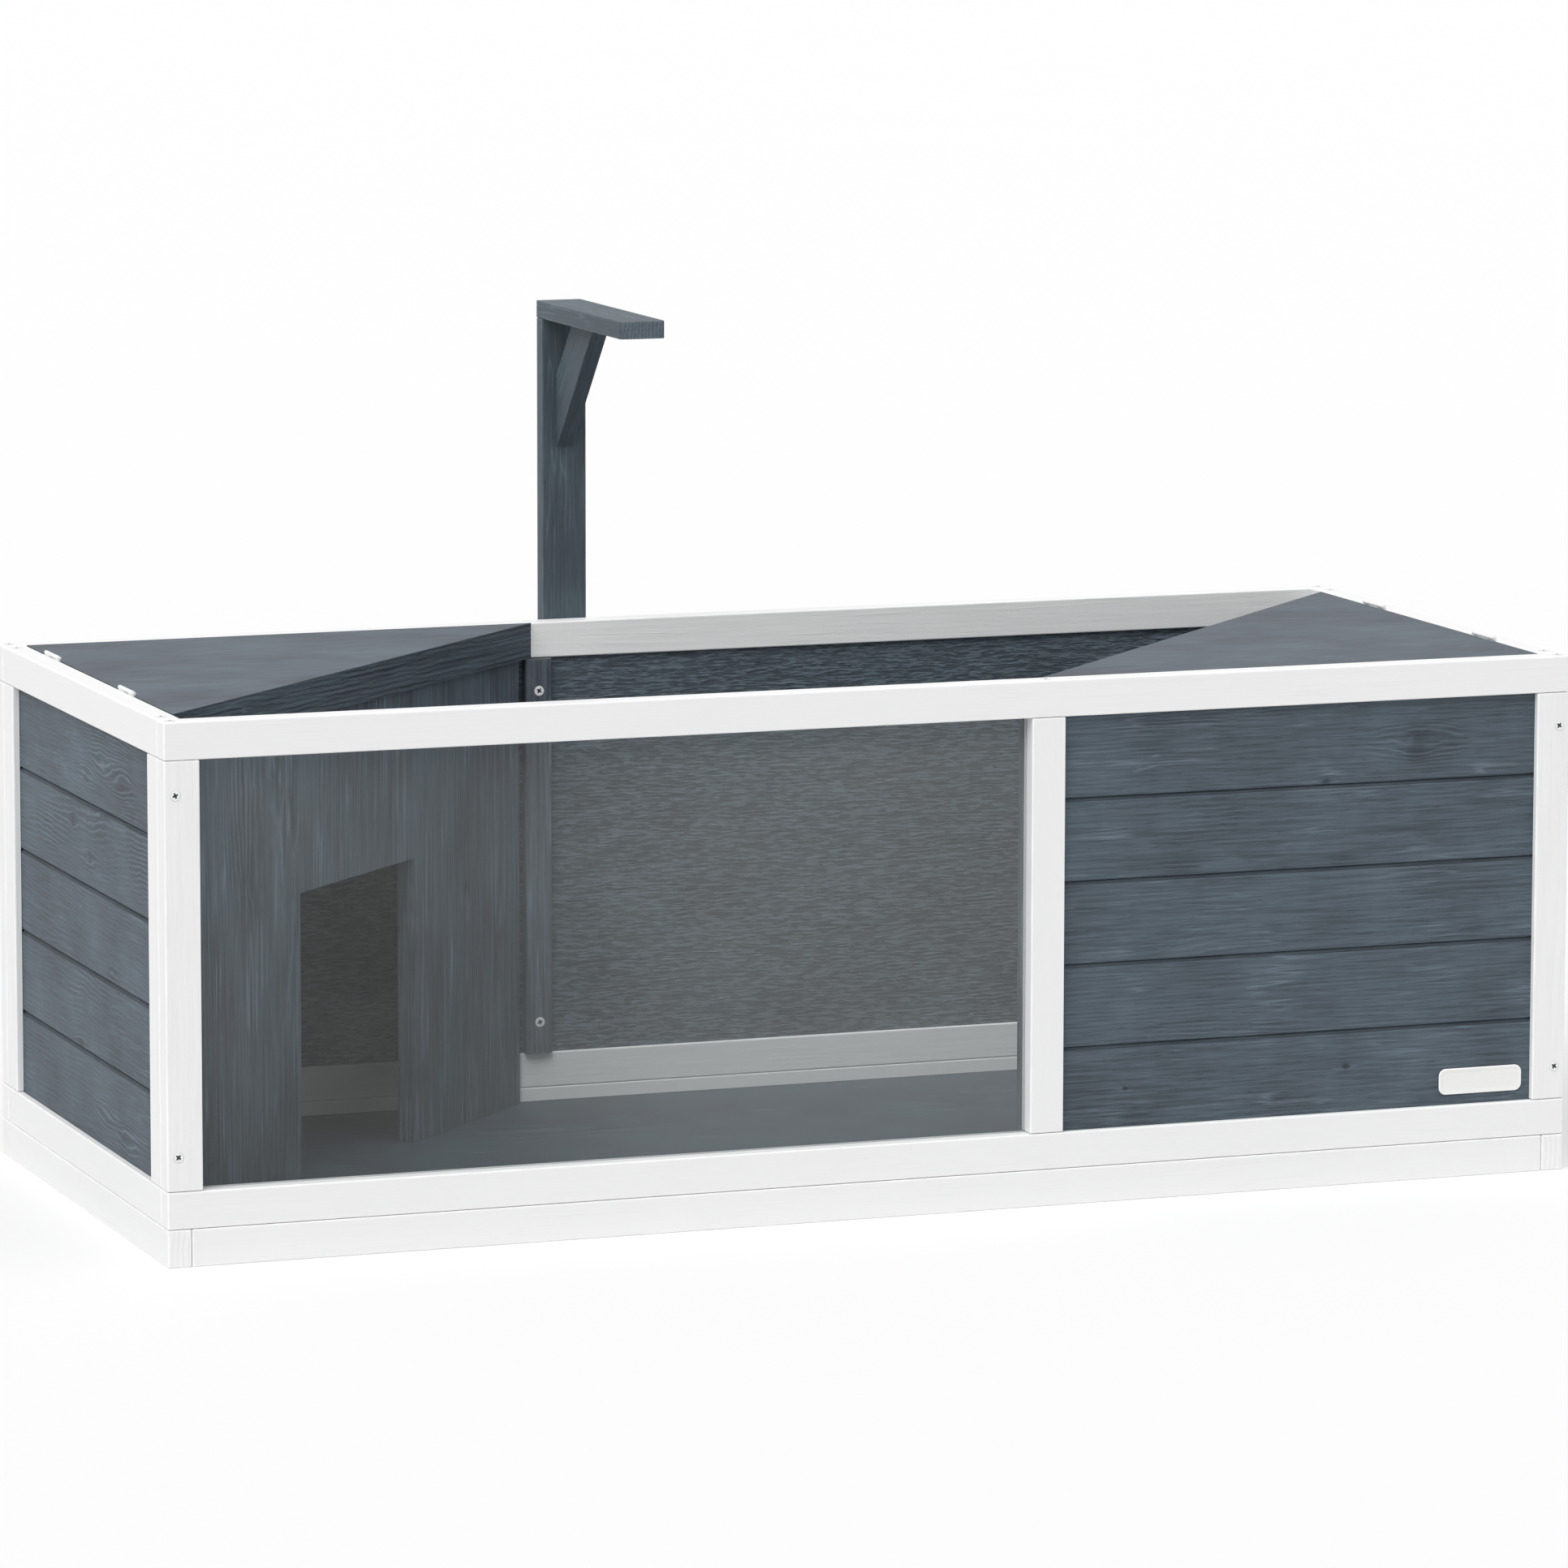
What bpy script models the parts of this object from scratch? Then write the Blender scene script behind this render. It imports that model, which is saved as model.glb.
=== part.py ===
"""Tortoise house: a low framed timber box with a window, two corner hides under lids and a lamp hanger.

Four framed panels stand on a plinth. Each panel has two rails that run its full length and stiles
tenoned between them. Tongue-and-groove boards with V joints, or a clear pane, sit in grooves of the
frame. Diagonal walls close off the back left and the front right corner. Each corner has a flush
triangular lid that folds outwards over its side panel on two butt hinges.

Lengths are in metres. The box's front looks along -Y and the origin lies on the ground, below the
middle of the whole outline.
"""

import math

import bmesh
import bpy
from mathutils import Vector

# Box
HOUSE_W = 1.000
HOUSE_D = 0.420
FRAME_T = 0.016
PLINTH_H = 0.025
RAIL_H = 0.025
STILE_W = 0.024
EDGE_EASE = 0.0008
TIMBER_EASE = 0.0006
EASE_SEGMENTS = 2

# Clearances and overruns
JOINT_GAP = 0.0003
SEAT_ROOM = 0.0005
CUT_OVERRUN = 0.002
JOIN_OVERLAP = 0.002
WELD_DISTANCE = 0.00001

# Grooves, tenons and boards
GROOVE_DEPTH = 0.005
TENON_T = 0.006
TENON_L = 0.009
TENON_SHOULDER = 0.006
BOARD_COUNT = 5
BOARD_COVER = 0.0567
BOARD_T = 0.008
BOARD_SETBACK = 0.005
V_CHAMFER = 0.0016
TONGUE_T = 0.0024
TONGUE_L = 0.004

# Window
PANE_T = 0.002
PANE_SETBACK = 0.0105

# Floor
FLOOR_T = 0.005
FLOOR_LIFT = 0.010
FLOOR_GROOVE_DEPTH = 0.006

# Hides: each cuts off a corner of the box at 45 degrees
TIP_TO_PANEL = 0.020
WALL_T = 0.013
WALL_SETBACK = 0.0044
WALL_BLUNT = 0.0048
DOOR_W = 0.166
DOOR_H = 0.1994
DOOR_PAST_MIDDLE = 0.0046
CLEAT_W = 0.020
CLEAT_T = 0.008
CLEAT_ROUND = 0.003
CLEAT_TO_WALL = 0.005
POST_PAST_CLEAT = 0.0032

# Lids
LID_T = 0.025
LID_PANEL_T = 0.006
LID_BATTEN_W = 0.016
LID_SIDE_GAP = 0.0005
HINGE_SEAM = 0.001

# Hinges, placed as shares of the hinge edge from the lid's square corner
HINGE_L = 0.035
LEAF_T = 0.0008
LEAF_H = 0.012
BARREL_R = 0.0014
PIN_R = 0.0007
PIN_CLEARANCE = 0.00015
PIN_PROUD = 0.0004
BARREL_SIDES = 16
MIDDLE_KNUCKLE_SHARE = 0.36
LEFT_HINGE_SHARES = {"rear": 0.192, "front": 0.703}
RIGHT_HINGE_SHARES = {"front": 0.239, "rear": 0.746}

# Lamp hanger
LAMP_X = -0.0858
LAMP_W = 0.0325
LAMP_T = 0.012
LAMP_RISE = 0.2131
ARM_L = 0.182
ARM_ROUND = 0.003
BRACE_REACH = 0.0814
BRACE_DROP = 0.0912
BRACE_W = 0.034

ARC_STEPS = 5
SQRT2 = math.sqrt(2)

# Heights
RAIL_LOW = PLINTH_H + JOINT_GAP
OPENING_LOW = PLINTH_H + RAIL_H
OPENING_HIGH = OPENING_LOW + BOARD_COUNT * BOARD_COVER
HOUSE_H = OPENING_HIGH + RAIL_H
FLOOR_TOP = FLOOR_LIFT + FLOOR_T
WALL_TOP = HOUSE_H - LID_T - JOINT_GAP
LAMP_TOP = HOUSE_H + LAMP_RISE

# Places in plan
FRONT_Y = -(HOUSE_D + JOINT_GAP + LAMP_T) / 2
BACK_Y = FRONT_Y + HOUSE_D
SIDE_L = HOUSE_D - 2 * (FRAME_T + JOINT_GAP)
SEAT_DEPTH = GROOVE_DEPTH - SEAT_ROOM

# Slots across the frame's thickness, as depths behind its outer face
BOARD_SLOT = (BOARD_SETBACK - JOINT_GAP, BOARD_SETBACK + BOARD_T + JOINT_GAP)
PANE_SLOT = (PANE_SETBACK - JOINT_GAP, PANE_SETBACK + PANE_T + JOINT_GAP)
TENON_MIDDLE = BOARD_SETBACK + BOARD_T / 2
TENON_SLOT = (TENON_MIDDLE - TENON_T / 2, TENON_MIDDLE + TENON_T / 2)

# Hide plan, as legs of 45 degree lines measured from the corner of the box's inside
HIDE_LEG = HOUSE_D - 2 * FRAME_T - TIP_TO_PANEL
WALL_FACE_LEG = HIDE_LEG - SQRT2 * WALL_SETBACK
WALL_BACK_LEG = WALL_FACE_LEG - SQRT2 * WALL_T
WALL_END = WALL_FACE_LEG - WALL_BLUNT
CLEAT_LOW = WALL_END + CLEAT_TO_WALL
CLEAT_HIGH = CLEAT_LOW + CLEAT_W
POST_CENTRE = HOUSE_W - FRAME_T - (CLEAT_LOW + CLEAT_HIGH) / 2 + POST_PAST_CLEAT
POST_LOW = POST_CENTRE - STILE_W / 2
POST_HIGH = POST_CENTRE + STILE_W / 2

# Lid plan and heights, measured from the hinge axis
AXIS_RISE = BARREL_R + JOINT_GAP
LID_EDGE = HINGE_SEAM / 2
LID_LEG = HIDE_LEG - HINGE_SEAM / 2
LID_TOP = -AXIS_RISE
LID_UNDER_PANEL = LID_TOP - LID_PANEL_T
LID_BOTTOM = LID_TOP - LID_T
LID_BACK = -LID_SIDE_GAP
LID_TIP = LID_EDGE - LID_LEG

FINISHES = {
    "white_paint": {"colour": (0.80, 0.80, 0.79, 1.0), "roughness": 0.45, "metallic": 0.0},
    "slate_board": {"colour": (0.085, 0.112, 0.140, 1.0), "roughness": 0.70, "metallic": 0.0},
    "slate_wall": {"colour": (0.070, 0.090, 0.108, 1.0), "roughness": 0.72, "metallic": 0.0},
    "slate_lid": {"colour": (0.100, 0.122, 0.150, 1.0), "roughness": 0.62, "metallic": 0.0},
    "slate_batten": {"colour": (0.045, 0.055, 0.066, 1.0), "roughness": 0.72, "metallic": 0.0},
    "lamp_timber": {"colour": (0.065, 0.085, 0.105, 1.0), "roughness": 0.68, "metallic": 0.0},
    "dark_floor": {"colour": (0.050, 0.060, 0.070, 1.0), "roughness": 0.80, "metallic": 0.0},
    "clear_acrylic": {"colour": (0.86, 0.90, 0.92, 0.20), "roughness": 0.08, "metallic": 0.0},
    "zinc": {"colour": (0.62, 0.63, 0.64, 1.0), "roughness": 0.35, "metallic": 1.0},
}


def empty_scene():
    for piece in list(bpy.data.objects):
        bpy.data.objects.remove(piece, do_unlink=True)


def new_collection(name):
    collection = bpy.data.collections.new(name)
    bpy.context.scene.collection.children.link(collection)
    return collection


empty_scene()
PARTS = new_collection("tortoise_house")
CUTTERS = new_collection("tortoise_house_cutters")


def give_finish(piece, finish):
    """A Principled material of the piece's own, in the finish's colour."""
    look = FINISHES[finish]
    material = bpy.data.materials.new(piece.name + "_" + finish)
    material.use_nodes = True
    shader = material.node_tree.nodes["Principled BSDF"]
    shader.inputs["Base Color"].default_value = look["colour"]
    shader.inputs["Roughness"].default_value = look["roughness"]
    shader.inputs["Metallic"].default_value = look["metallic"]
    shader.inputs["Alpha"].default_value = look["colour"][3]
    material.diffuse_color = look["colour"]
    piece.data.materials.append(material)


def place(piece, finish, home):
    """Link a piece under its parent empty: a part with its finish, or a cutter where it has none."""
    piece.parent = home
    if finish:
        PARTS.objects.link(piece)
        give_finish(piece, finish)
    else:
        CUTTERS.objects.link(piece)
        piece.hide_render = True
        piece.display_type = "WIRE"


def marker(name, location, turn=0.0):
    """An empty that carries pieces: a panel's outer lower corner, or a joint's axis."""
    home = bpy.data.objects.new(name, None)
    home.location = location
    home.rotation_euler = (0, 0, turn)
    home.empty_display_size = STILE_W
    PARTS.objects.link(home)
    return home


def ease_edges(piece, width, segments=EASE_SEGMENTS):
    bevel = piece.modifiers.new("eased edges", "BEVEL")
    bevel.width = width
    bevel.segments = segments
    bevel.limit_method = "ANGLE"


def block(name, low, high, home, finish=None, ease=0.0, turn=0.0):
    """A box between two corners, turned about the vertical through its middle."""
    low, high = Vector(low), Vector(high)
    shape = bmesh.new()
    bmesh.ops.create_cube(shape, size=1.0)
    bmesh.ops.scale(shape, vec=high - low, verts=shape.verts)
    mesh = bpy.data.meshes.new(name)
    shape.to_mesh(mesh)
    shape.free()
    piece = bpy.data.objects.new(name, mesh)
    piece.location = (low + high) / 2
    piece.rotation_euler = (0, 0, turn)
    place(piece, finish, home)
    if ease:
        ease_edges(piece, ease)
    return piece


def prism(name, outline, low, high, along, home, finish=None, ease=0.0):
    """A flat outline given a thickness: (x, y) points raised along Z, or (y, z) points run along X."""
    curve = bpy.data.curves.new(name + "_outline", "CURVE")
    curve.dimensions = "2D"
    curve.fill_mode = "BOTH"
    curve.extrude = (high - low) / 2
    spline = curve.splines.new("POLY")
    spline.points.add(len(outline) - 1)
    for point, (a, b) in zip(spline.points, outline):
        point.co = (a, b, 0, 1)
    spline.use_cyclic_u = True
    drawn = bpy.data.objects.new(name + "_outline", curve)
    PARTS.objects.link(drawn)
    middle = (low + high) / 2
    if along == "Z":
        drawn.location = (0, 0, middle)
    else:
        drawn.location = (middle, 0, 0)
        drawn.rotation_euler = (math.pi / 2, 0, math.pi / 2)
    bpy.context.view_layer.update()
    seen = drawn.evaluated_get(bpy.context.evaluated_depsgraph_get())
    mesh = bpy.data.meshes.new_from_object(seen)
    mesh.name = name
    shape = bmesh.new()
    shape.from_mesh(mesh)
    bmesh.ops.remove_doubles(shape, verts=shape.verts, dist=WELD_DISTANCE)
    bmesh.ops.recalc_face_normals(shape, faces=shape.faces)
    shape.to_mesh(mesh)
    shape.free()
    piece = bpy.data.objects.new(name, mesh)
    piece.matrix_world = drawn.matrix_world
    bpy.data.objects.remove(drawn)
    bpy.data.curves.remove(curve)
    place(piece, finish, home)
    if ease:
        ease_edges(piece, ease)
    return piece


def rod(name, radius, low, high, middle, home, finish=None):
    """A round bar along Y, from low to high, about the line through middle = (x, z)."""
    shape = bmesh.new()
    bmesh.ops.create_cone(
        shape, cap_ends=True, segments=BARREL_SIDES, radius1=radius, radius2=radius, depth=high - low
    )
    mesh = bpy.data.meshes.new(name)
    shape.to_mesh(mesh)
    shape.free()
    mesh.shade_smooth()
    piece = bpy.data.objects.new(name, mesh)
    piece.location = (middle[0], (low + high) / 2, middle[1])
    piece.rotation_euler = (math.pi / 2, 0, 0)
    place(piece, finish, home)
    return piece


def combine(piece, other, operation):
    boolean = piece.modifiers.new(other.name, "BOOLEAN")
    boolean.operation = operation
    boolean.solver = "EXACT"
    boolean.object = other


def cut(piece, *cutters):
    for cutter in cutters:
        combine(piece, cutter, "DIFFERENCE")


def join(piece, *additions):
    for addition in additions:
        combine(piece, addition, "UNION")


def sunk(face, depth, way):
    """The ends, in order, of a cutter that sinks into a face looking along way, +1 or -1."""
    inner = face - way * depth
    outer = face + way * CUT_OVERRUN
    return min(inner, outer), max(inner, outer)


def arc(centre, radius, start, end):
    """Points of an arc, from one angle to the other in equal steps."""
    angles = [start + (end - start) * step / ARC_STEPS for step in range(ARC_STEPS + 1)]
    return [(centre[0] + radius * math.cos(a), centre[1] + radius * math.sin(a)) for a in angles]


def round_nosed_plan(low_x, high_x, nose_y, square_y, radius):
    """A rectangle in plan whose two corners on the nose side are rounded; the nose looks along -Y."""
    nose_left = arc((low_x + radius, nose_y + radius), radius, math.pi, 3 * math.pi / 2)
    nose_right = arc((high_x - radius, nose_y + radius), radius, 3 * math.pi / 2, 2 * math.pi)
    return nose_left + nose_right + [(high_x, square_y), (low_x, square_y)]


# Framed panels, each built with its outer face at y = 0 and its left end, seen from outside, at x = 0


def rail(name, low, high, length, opens, posts, grooves, home):
    """A rail with a mortise for each post's tenon and grooves between the mortises.

    opens is +1 where the grooved edge looks up and -1 where it looks down.
    posts are (low, high) along the rail, grooves are (low, high, slot).
    """
    piece = block(name, (0, 0, low), (length, FRAME_T, high), home, "white_paint", EDGE_EASE)
    edge = high if opens > 0 else low
    groove_low, groove_high = sunk(edge, GROOVE_DEPTH, opens)
    for number, (start, end, slot) in enumerate(grooves, 1):
        corner = (start, slot[0], groove_low)
        cut(piece, block(f"{name}_groove_{number}", corner, (end, slot[1], groove_high), home))
    mortise_low, mortise_high = sunk(edge, TENON_L + SEAT_ROOM, opens)
    for number, (start, end) in enumerate(posts, 1):
        corner = (start + TENON_SHOULDER - JOINT_GAP, TENON_SLOT[0] - JOINT_GAP, mortise_low)
        opposite = (end - TENON_SHOULDER + JOINT_GAP, TENON_SLOT[1] + JOINT_GAP, mortise_high)
        cut(piece, block(f"{name}_mortise_{number}", corner, opposite, home))
    return piece


def stile(name, low, high, slots, home):
    """An upright between the rails, with a stub tenon at each end.

    slots gives the groove of each edge: key -1 for the edge at low, +1 for the edge at high.
    """
    foot = OPENING_LOW + JOINT_GAP
    head = OPENING_HIGH - JOINT_GAP
    piece = block(name, (low, 0, foot), (high, FRAME_T, head), home, "white_paint", EDGE_EASE)
    for end, way, word in ((foot, -1, "foot"), (head, 1, "head")):
        reach = sorted((end - way * JOIN_OVERLAP, end + way * TENON_L))
        corner = (low + TENON_SHOULDER, TENON_SLOT[0], reach[0])
        opposite = (high - TENON_SHOULDER, TENON_SLOT[1], reach[1])
        join(piece, block(f"{name}_{word}_tenon", corner, opposite, home))
    for way, slot in slots.items():
        start, end = sunk(high if way > 0 else low, GROOVE_DEPTH, way)
        corner = (start, slot[0], foot - CUT_OVERRUN)
        opposite = (end, slot[1], head + CUT_OVERRUN)
        cut(piece, block(f"{name}_groove_{'low' if way < 0 else 'high'}", corner, opposite, home))
    return piece


def board_outline(number):
    """A board's section as (depth, height): V-chamfered face, tongue on top and groove below.

    The lowest and the highest board run plain into the grooves of the rails.
    """
    face = BOARD_SETBACK
    back = BOARD_SETBACK + BOARD_T
    foot = OPENING_LOW + number * BOARD_COVER + JOINT_GAP / 2
    head = foot + BOARD_COVER - JOINT_GAP
    middle = (face + back) / 2
    tongue = (middle - TONGUE_T / 2, middle + TONGUE_T / 2)
    slot = (tongue[0] - JOINT_GAP, tongue[1] + JOINT_GAP)
    slot_top = foot + TONGUE_L + JOINT_GAP
    if number == 0:
        lower = [(back, OPENING_LOW - SEAT_DEPTH), (face, OPENING_LOW - SEAT_DEPTH)]
    else:
        lower = [
            (back, foot), (slot[1], foot), (slot[1], slot_top), (slot[0], slot_top), (slot[0], foot),
            (face + V_CHAMFER, foot), (face, foot + V_CHAMFER),
        ]
    if number == BOARD_COUNT - 1:
        upper = [(face, OPENING_HIGH + SEAT_DEPTH), (back, OPENING_HIGH + SEAT_DEPTH)]
    else:
        tip = head + TONGUE_L
        upper = [
            (face, head - V_CHAMFER), (face + V_CHAMFER, head), (tongue[0], head), (tongue[0], tip),
            (tongue[1], tip), (tongue[1], head), (back, head),
        ]
    return lower + upper


def boards(side, low, high, home):
    """The boards of one bay, from stile edge to stile edge and into both grooves."""
    for number in range(BOARD_COUNT):
        name = f"{side}_board_{number + 1}"
        prism(name, board_outline(number), low - SEAT_DEPTH, high + SEAT_DEPTH, "X", home, "slate_board")


def rails(side, length, posts, grooves, home):
    rail(f"{side}_bottom_rail", RAIL_LOW, OPENING_LOW, length, 1, posts, grooves, home)
    return rail(f"{side}_top_rail", OPENING_HIGH, HOUSE_H, length, -1, posts, grooves, home)


def front_panel(home):
    """Window bay on the left and boarded bay on the right of the middle post."""
    ends = ((0, STILE_W), (POST_LOW, POST_HIGH), (HOUSE_W - STILE_W, HOUSE_W))
    grooves = (
        (STILE_W / 2, POST_CENTRE + CUT_OVERRUN, PANE_SLOT),
        (POST_CENTRE, HOUSE_W - STILE_W / 2, BOARD_SLOT),
    )
    rails("front", HOUSE_W, ends, grooves, home)
    stile("front_left_stile", *ends[0], {1: PANE_SLOT}, home)
    stile("front_middle_post", *ends[1], {-1: PANE_SLOT, 1: BOARD_SLOT}, home)
    stile("front_right_stile", *ends[2], {-1: BOARD_SLOT}, home)
    pane_low = (STILE_W - SEAT_DEPTH, PANE_SETBACK, OPENING_LOW - SEAT_DEPTH)
    pane_high = (POST_LOW + SEAT_DEPTH, PANE_SETBACK + PANE_T, OPENING_HIGH + SEAT_DEPTH)
    block("window_pane", pane_low, pane_high, home, "clear_acrylic")
    boards("front", POST_HIGH, HOUSE_W - STILE_W, home)


def plain_frame(side, length, home, stile_names):
    """A frame with one bay; stile_names go from its left end to its right, seen from outside."""
    ends = ((0, STILE_W), (length - STILE_W, length))
    grooves = ((STILE_W / 2, length - STILE_W / 2, BOARD_SLOT),)
    top = rails(side, length, ends, grooves, home)
    stile(f"{side}_{stile_names[0]}_stile", *ends[0], {1: BOARD_SLOT}, home)
    stile(f"{side}_{stile_names[1]}_stile", *ends[1], {-1: BOARD_SLOT}, home)
    return top


def back_panel(home):
    """One flat sheet fills the back frame."""
    plain_frame("back", HOUSE_W, home, ("right", "left"))
    low = (STILE_W - SEAT_DEPTH, BOARD_SETBACK, OPENING_LOW - SEAT_DEPTH)
    high = (HOUSE_W - STILE_W + SEAT_DEPTH, BOARD_SETBACK + BOARD_T, OPENING_HIGH + SEAT_DEPTH)
    block("back_board", low, high, home, "slate_board")


def side_panel(side, home, stile_names):
    """A boarded frame that fits between the front and the back panel; gives back its top rail."""
    top = plain_frame(side, SIDE_L, home, stile_names)
    boards(side, STILE_W, SIDE_L - STILE_W, home)
    return top


# Plinth and floor


def plinth(home):
    """Two full-depth end boards with the front and back boards between them, all grooved for the floor."""
    groove = (FLOOR_LIFT - JOINT_GAP, FLOOR_TOP + JOINT_GAP)
    for name, way in (("plinth_left", -1), ("plinth_right", 1)):
        outer = way * HOUSE_W / 2
        inner = way * (HOUSE_W / 2 - FRAME_T)
        low_x, high_x = sorted((outer, inner))
        piece = block(name, (low_x, FRONT_Y, 0), (high_x, BACK_Y, PLINTH_H), home, "white_paint", EDGE_EASE)
        cut_low, cut_high = sunk(inner, FLOOR_GROOVE_DEPTH, -way)
        reach = FRAME_T - FLOOR_GROOVE_DEPTH
        corner = (cut_low, FRONT_Y + reach, groove[0])
        cut(piece, block(name + "_groove", corner, (cut_high, BACK_Y - reach, groove[1]), home))
    for name, outer, way in (("plinth_front", FRONT_Y, 1), ("plinth_back", BACK_Y, -1)):
        inner = outer + way * FRAME_T
        low_y, high_y = sorted((outer, inner))
        end = HOUSE_W / 2 - FRAME_T - JOINT_GAP
        piece = block(name, (-end, low_y, 0), (end, high_y, PLINTH_H), home, "white_paint", EDGE_EASE)
        cut_low, cut_high = sunk(inner, FLOOR_GROOVE_DEPTH, way)
        corner = (-end - CUT_OVERRUN, cut_low, groove[0])
        cut(piece, block(name + "_groove", corner, (end + CUT_OVERRUN, cut_high, groove[1]), home))
    inset = FRAME_T - FLOOR_GROOVE_DEPTH + SEAT_ROOM
    low = (-HOUSE_W / 2 + inset, FRONT_Y + inset, FLOOR_LIFT)
    block("floor_panel", low, (HOUSE_W / 2 - inset, BACK_Y - inset, FLOOR_TOP), home, "dark_floor")


# Hides, each built from the corner of the box's inside, with x along the panel behind it


def hide_wall(side, home):
    """The diagonal wall, mitred to both panels, with a doorway near its middle."""
    plan = [
        (JOINT_GAP, JOINT_GAP - WALL_FACE_LEG),
        (WALL_END, WALL_END - WALL_FACE_LEG),
        (WALL_END, -JOINT_GAP),
        (WALL_BACK_LEG - JOINT_GAP, -JOINT_GAP),
        (JOINT_GAP, JOINT_GAP - WALL_BACK_LEG),
    ]
    foot = FLOOR_TOP + JOINT_GAP
    wall = prism(f"{side}_hide_wall", plan, foot, WALL_TOP, "Z", home, "slate_wall")
    half_leg = (WALL_FACE_LEG + WALL_BACK_LEG) / 4
    shift = DOOR_PAST_MIDDLE / SQRT2
    middle = Vector((half_leg + shift, shift - half_leg, 0))
    through = WALL_T / 2 + CUT_OVERRUN
    corner = middle + Vector((-DOOR_W / 2, -through, foot - CUT_OVERRUN))
    opposite = middle + Vector((DOOR_W / 2, through, FLOOR_TOP + DOOR_H))
    cut(wall, block(f"{side}_doorway", corner, opposite, home, turn=math.pi / 4))


def hide_cleat(side, seat, home):
    """An upright batten beside the wall's far end, with its back on the face at seat."""
    back = seat - JOINT_GAP
    plan = round_nosed_plan(CLEAT_LOW, CLEAT_HIGH, back - CLEAT_T, back, CLEAT_ROUND)
    foot = OPENING_LOW + JOINT_GAP
    prism(f"{side}_wall_cleat", plan, foot, WALL_TOP, "Z", home, "slate_batten", TIMBER_EASE)


# Lids, each built from its hinge axis where that meets the panel beside the lid's square corner


def lid(side, home):
    """A triangular panel on two battens: one under its free edge and one along its hinge edge.

    Their arrises are left crisp, so the panel's edge and the batten's face below it read as one.
    """
    far = LID_LEG + LID_BACK
    plan = [(LID_EDGE, LID_BACK), (LID_EDGE, LID_TIP), (far, LID_BACK)]
    panel = prism(f"{side}_lid_panel", plan, LID_UNDER_PANEL, LID_TOP, "Z", home, "slate_lid")
    slant = SQRT2 * LID_BATTEN_W
    front_plan = [(LID_EDGE, LID_TIP), (far, LID_BACK), (far - slant, LID_BACK), (LID_EDGE, LID_TIP + slant)]
    inner_tip = LID_TIP + slant + SQRT2 * JOINT_GAP
    inside = LID_EDGE + LID_BATTEN_W
    hinge_plan = [
        (LID_EDGE, inner_tip), (inside, inner_tip + LID_BATTEN_W), (inside, LID_BACK), (LID_EDGE, LID_BACK),
    ]
    under = LID_UNDER_PANEL - JOINT_GAP
    for word, outline in (("front", front_plan), ("hinge", hinge_plan)):
        batten = prism(f"{side}_lid_{word}_batten", outline, LID_BOTTOM, under, "Z", home, "slate_batten")
    return panel, batten


def hinge(name, middle, home, fixed, moving):
    """A butt hinge about the Y axis through home, let into the rail and into the lid's pieces.

    The rail leaf carries the end knuckles and the pin, and the lid leaf the middle knuckle.
    """
    low, high = middle - HINGE_L / 2, middle + HINGE_L / 2
    knuckle = HINGE_L * MIDDLE_KNUCKLE_SHARE / 2
    leaf_low = LID_TOP - LEAF_H
    near, far = JOINT_GAP / 2, JOINT_GAP / 2 + LEAF_T
    neck = -BARREL_R - JOINT_GAP
    gap_low, gap_high = middle - knuckle - JOINT_GAP, middle + knuckle + JOINT_GAP

    rail_outline = [
        (low, leaf_low), (high, leaf_low), (high, 0), (gap_high, 0),
        (gap_high, neck), (gap_low, neck), (gap_low, 0), (low, 0),
    ]
    rail_leaf = prism(f"{name}_rail_leaf", rail_outline, -far, -near, "X", home, "zinc")
    join(
        rail_leaf,
        rod(f"{name}_low_knuckle", BARREL_R, low, gap_low, (0, 0), home),
        rod(f"{name}_high_knuckle", BARREL_R, gap_high, high, (0, 0), home),
        rod(f"{name}_pin", PIN_R, low - PIN_PROUD, high + PIN_PROUD, (0, 0), home),
    )

    tab_low, tab_high = middle - knuckle, middle + knuckle
    lid_outline = [
        (low, leaf_low), (high, leaf_low), (high, neck), (tab_high, neck),
        (tab_high, 0), (tab_low, 0), (tab_low, neck), (low, neck),
    ]
    lid_leaf = prism(f"{name}_lid_leaf", lid_outline, near, far, "X", home, "zinc")
    join(lid_leaf, rod(f"{name}_middle_knuckle", BARREL_R, tab_low, tab_high, (0, 0), home))
    bore_r = PIN_R + PIN_CLEARANCE
    cut(lid_leaf, rod(f"{name}_bore", bore_r, tab_low - CUT_OVERRUN, tab_high + CUT_OVERRUN, (0, 0), home))

    room_low, room_high = low - JOINT_GAP, high + JOINT_GAP
    bed = leaf_low - JOINT_GAP
    deep = far + JOINT_GAP
    rail_low, rail_high = (-deep, room_low, bed), (-LID_EDGE + CUT_OVERRUN, room_high, CUT_OVERRUN)
    cut(fixed, block(f"{name}_rail_mortise", rail_low, rail_high, home))
    lid_low, lid_high = (LID_EDGE - CUT_OVERRUN, room_low, bed), (deep, room_high, CUT_OVERRUN)
    lid_mortise = block(f"{name}_lid_mortise", lid_low, lid_high, home)
    for piece in moving:
        cut(piece, lid_mortise)


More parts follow.
